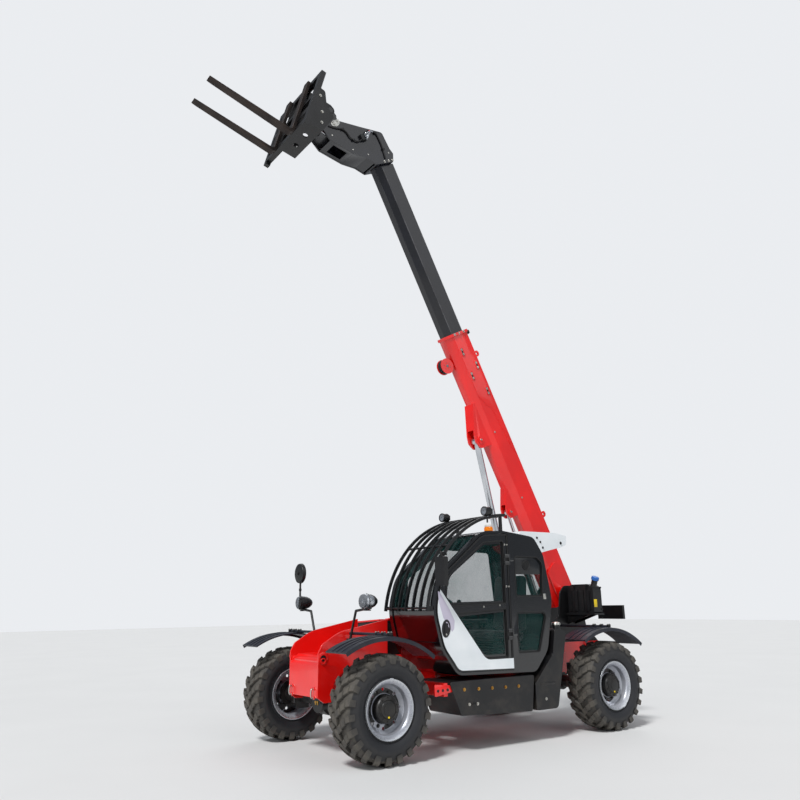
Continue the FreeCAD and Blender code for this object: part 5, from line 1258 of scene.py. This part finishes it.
# Hood: hinge straps of its lid
hinges = {"x": (1.1, 1.75, 2.4), "half": 0.03}
piece = Piece("hoodFittings")
for x in hinges["x"]:
    piece.box(at(x - hinges["half"], -0.262, 1.389), at(x + hinges["half"], -0.215, 1.396), 0.002)
piece.done("hood_lid", [satin])


print("stage: seat and cylinders")
# Seat: base box, rubber bellows, tray and side rails; cushions are outlines in millimetres, seams are (x, z)
seat = {
    "bellows": 4, "bellowTall": 0.028, "rails": (0.452, 0.93),
    "cushion": [(1310, 1135, 40), (1835, 1135, 50), (1835, 1258, 50), (1310, 1228, 40)],
    "cushionSeam": ((1.45, 1.236), (1.8, 1.256)), "cushionSeamsY": (0.56, 0.69, 0.82),
    "back": [(1255, 1232, 30), (1395, 1250, 40), (1328, 1895, 55), (1195, 1895, 55)],
    "backSeam": ((1.38, 1.33), (1.33, 1.83)), "backSeamsY": (0.56, 0.82)
}
piece = Piece("seatBaseFrame")
piece.box(at(1.44, 0.5, 0.84), at(1.78, 0.88, 1.0), 0.012)
for level in range(seat["bellows"]):
    wider, low = 0.008 * (level % 2), 1.0 + level * seat["bellowTall"]
    piece.box(at(1.47 - wider, 0.53, low), at(1.75 + wider, 0.85, low + seat["bellowTall"]), 0.008)
piece.box(at(1.33, 0.46, 1.112), at(1.82, 0.92, 1.134), 0.006)
for y in seat["rails"]:
    piece.box(at(1.4, y - 0.018, 1.1), at(1.7, y + 0.018, 1.15), 0.008)
piece.done("seat", darkPlastic, ["seat"])


def cushionPiece(name, outline, y0, y1, seam, seamsY):
    # A padded block of an (x, z) outline with a welt at each side and sewn lines between.
    pad = Piece(name)
    sheetOf(pad, rounded(outline), y0, y1, 0.028)
    pad.mat = 1
    for y in (y0 + 0.002, y1 - 0.002):
        line = onPlane(y, rounded(outline, 30, 4))
        pad.pipe(line + line[:1], 0.005, 8, 0.01)
    pad.mat = 0
    for y in seamsY:
        pad.pipe(onPlane(y, seam), 0.006, 8)
    made = pad.done("seat", [seatCloth, darkPlastic])


cushionPiece("seatCushion", seat["cushion"], 0.445, 0.935, seat["cushionSeam"], seat["cushionSeamsY"])
cushionPiece("seatBack", seat["back"], 0.455, 0.925, seat["backSeam"], seat["backSeamsY"])

# Controls: armrest on its post with a joystick, boss and knob of the wheel, dash with its screen and switches
controls = {
    "joystick": (1.826, 0.38, 1.466), "knob": (2.236, 0.815, 1.585), "switches": (0.56, 0.6, 0.64, 0.76, 0.8)
}
piece = Piece("cabControls")
piece.box(at(1.42, 0.33, 1.33), at(1.86, 0.43, 1.375), 0.014)
piece.box(at(1.56, 0.34, 0.83), at(1.7, 0.42, 1.34), 0.012)
piece.rod(at(1.8, 0.38, 1.37), at(1.822, 0.38, 1.44), 0.01, segments=16)
piece.ball(at(*controls["joystick"]), 0.03, (1, 1, 1.35))
piece.rod(at(2.35, 0.69, 1.512), at(2.338, 0.69, 1.56), 0.048, 0.04, segments=32, bevel=0.004)
piece.ball(at(*controls["knob"]), 0.026)
piece.box(at(2.54, 0.44, 1.395), at(2.68, 0.94, 1.46), 0.016)
piece.mat = 1
piece.box(at(2.534, 0.52, 1.408), at(2.542, 0.86, 1.45), 0.001)
piece.mat = 2
for y in controls["switches"]:
    piece.rod(at(2.533, y, 1.429), at(2.529, y, 1.429), 0.012, segments=16)
piece.done("steering_column", [darkPlastic, frit, greyPlastic])

# Cylinders: gland rings, ports, feed pipes and clamps on the barrels, by pin, eye, barrel radius and length
cylinders = {
    "lift": (at(0.44, 0, 0.9), onBoom(2.55, 0, -0.315), 0.072, 1.6),
    "level": (at(-0.1, 0, 1.0), onBoom(1.43, 0, -0.295), 0.044, 1.09)
}
fittings = {
    "glandBolts": 8, "ports": (0.12, 0.9), "pipe": 0.0075, "pipeOff": 0.034, "clamps": (0.32, 0.62),
    "band": ((-0.002, -0.012), (0.005, -0.012), (0.005, 0.012), (-0.002, 0.012))
}
for name, (pin, eye, radius, length) in cylinders.items():
    piece = Piece(name + "CylinderFittings")
    along = (eye - pin).normalized()
    away = Vector((0, 1, 0)).cross(along)
    end = pin + along * length
    gland = [(radius * 0.55 + 0.006, -0.004), (radius + 0.004, -0.004), (radius + 0.004, 0.01),
             (radius, 0.014), (radius * 0.62 + 0.004, 0.014)]
    piece.turned(end, along, gland, steps=40)
    for turn in turns(fittings["glandBolts"]):
        out = Matrix.Rotation(turn, 3, along) @ away * (radius * 0.86)
        piece.bolt(end + along * 0.008 + out, along, 0.012, washer=False)
    piece.mat = 1
    for share in fittings["ports"]:
        foot = pin + along * length * share - away * radius * 0.97
        piece.rod(foot, foot - away * 0.026, 0.016, segments=16, bevel=0.002)
        piece.rod(foot - away * 0.026, foot - away * 0.04, 0.012, segments=6)
    off = away * (radius + fittings["pipeOff"])
    low, high = (pin + along * length * share - off for share in fittings["ports"])
    piece.mat = 2
    piece.pipe([low + along * 0.03, high], fittings["pipe"], 10)
    piece.mat = 0
    for share in fittings["clamps"]:
        clamp = pin + along * length * share
        band = [(radius + out, to) for out, to in fittings["band"]]
        piece.turned(clamp, along, band, steps=36)
        foot = clamp - away * (radius + 0.004)
        piece.rod(foot, foot - away * 0.042, 0.011, segments=12, bevel=0.001)
    piece.done(name + "_cylinder", [gloss, zinc, steelLine])


print("stage: studio")
# sky lights the machine and backdrop is what the camera sees behind it, as colour and strength; a sun is where it
# shines from, its angle in degrees and its strength
studio = {
    "floor": 60.0, "floorColours": ((214, 214, 213), (220, 220, 219)), "lens": 33.59, "sensor": 36.0,
    "eye": (8.1244, 7.8216, 1.5397), "pitch": 15.469, "roll": -0.754, "yaw": -125.879, "farEnd": 200,
    "sky": ((0.8, 0.86, 0.95, 1), 0.3), "backdrop": ((0.9, 0.92, 0.95, 1), 0.92),
    "suns": {"keySun": ((9.0, 5.0, 12.0), 12.0, 2.7), "fillSun": ((-4.0, 13.0, 7.0), 50.0, 0.5),
             "frontSun": ((13.0, 4.0, 3.5), 40.0, 0.6), "backSun": ((-9.0, -8.0, 10.0), 40.0, 0.5)}
}
floorPiece = Piece("studioFloor")
bmesh.ops.create_grid(floorPiece.mesh, x_segments=1, y_segments=1, size=studio["floor"])
floorFinish = Finish("studioFloorPaint", Roughness=0.9)
floorFinish.link("Base Color", floorFinish.blend(floorFinish.noise(0.6, 2.0), *studio["floorColours"]))
floor = floorPiece.built(floorFinish.material)

world = bpy.data.worlds.new("studio")
bpy.context.scene.world = world
world.use_nodes = True
tree = world.node_tree
lightPath, mixer, seen, pale = (tree.nodes.new("ShaderNode" + kind)
                                for kind in ("LightPath", "MixShader", "Math", "Background"))
plainSky = tree.nodes["Background"]
for shade, key in ((plainSky, "sky"), (pale, "backdrop")):
    shade.inputs["Color"].default_value, shade.inputs["Strength"].default_value = studio[key]
seen.operation = "MAXIMUM"
for source, target in ((lightPath.outputs["Is Camera Ray"], seen.inputs[0]),
                       (lightPath.outputs["Is Transmission Ray"], seen.inputs[1]),
                       (seen.outputs[0], mixer.inputs["Fac"]), (plainSky.outputs[0], mixer.inputs[1]),
                       (pale.outputs[0], mixer.inputs[2]),
                       (mixer.outputs[0], tree.nodes["World Output"].inputs["Surface"])):
    tree.links.new(source, target)

for name, (place, width, power) in studio["suns"].items():
    light = bpy.data.lights.new(name, "SUN")
    light.energy, light.angle = power, math.radians(width)
    holder = addObject(name, light)
    holder.location = place
    holder.rotation_mode = "QUATERNION"
    holder.rotation_quaternion = (-Vector(place)).to_track_quat("-Z", "Y")


def cameraMatrix():
    pitch, yaw, roll = (math.radians(studio[key]) for key in ("pitch", "yaw", "roll"))
    ahead = Vector((math.cos(pitch) * math.cos(yaw), math.cos(pitch) * math.sin(yaw), math.sin(pitch)))
    level = Vector((math.sin(yaw), -math.cos(yaw), 0))
    above = level.cross(ahead)
    right = level * math.cos(roll) + above * math.sin(roll)
    up = above * math.cos(roll) - level * math.sin(roll)
    eye = at(*studio["eye"])
    return Matrix.Translation(eye) @ Matrix((right, up, -ahead)).transposed().to_4x4()


cameraData = bpy.data.cameras.new("camera")
cameraData.lens, cameraData.sensor_width = studio["lens"], studio["sensor"]
cameraData.clip_end = studio["farEnd"]
camera = addObject("camera", cameraData)
camera.matrix_world = cameraMatrix()
bpy.context.scene.camera = camera
bpy.context.scene.view_settings.view_transform = "Standard"
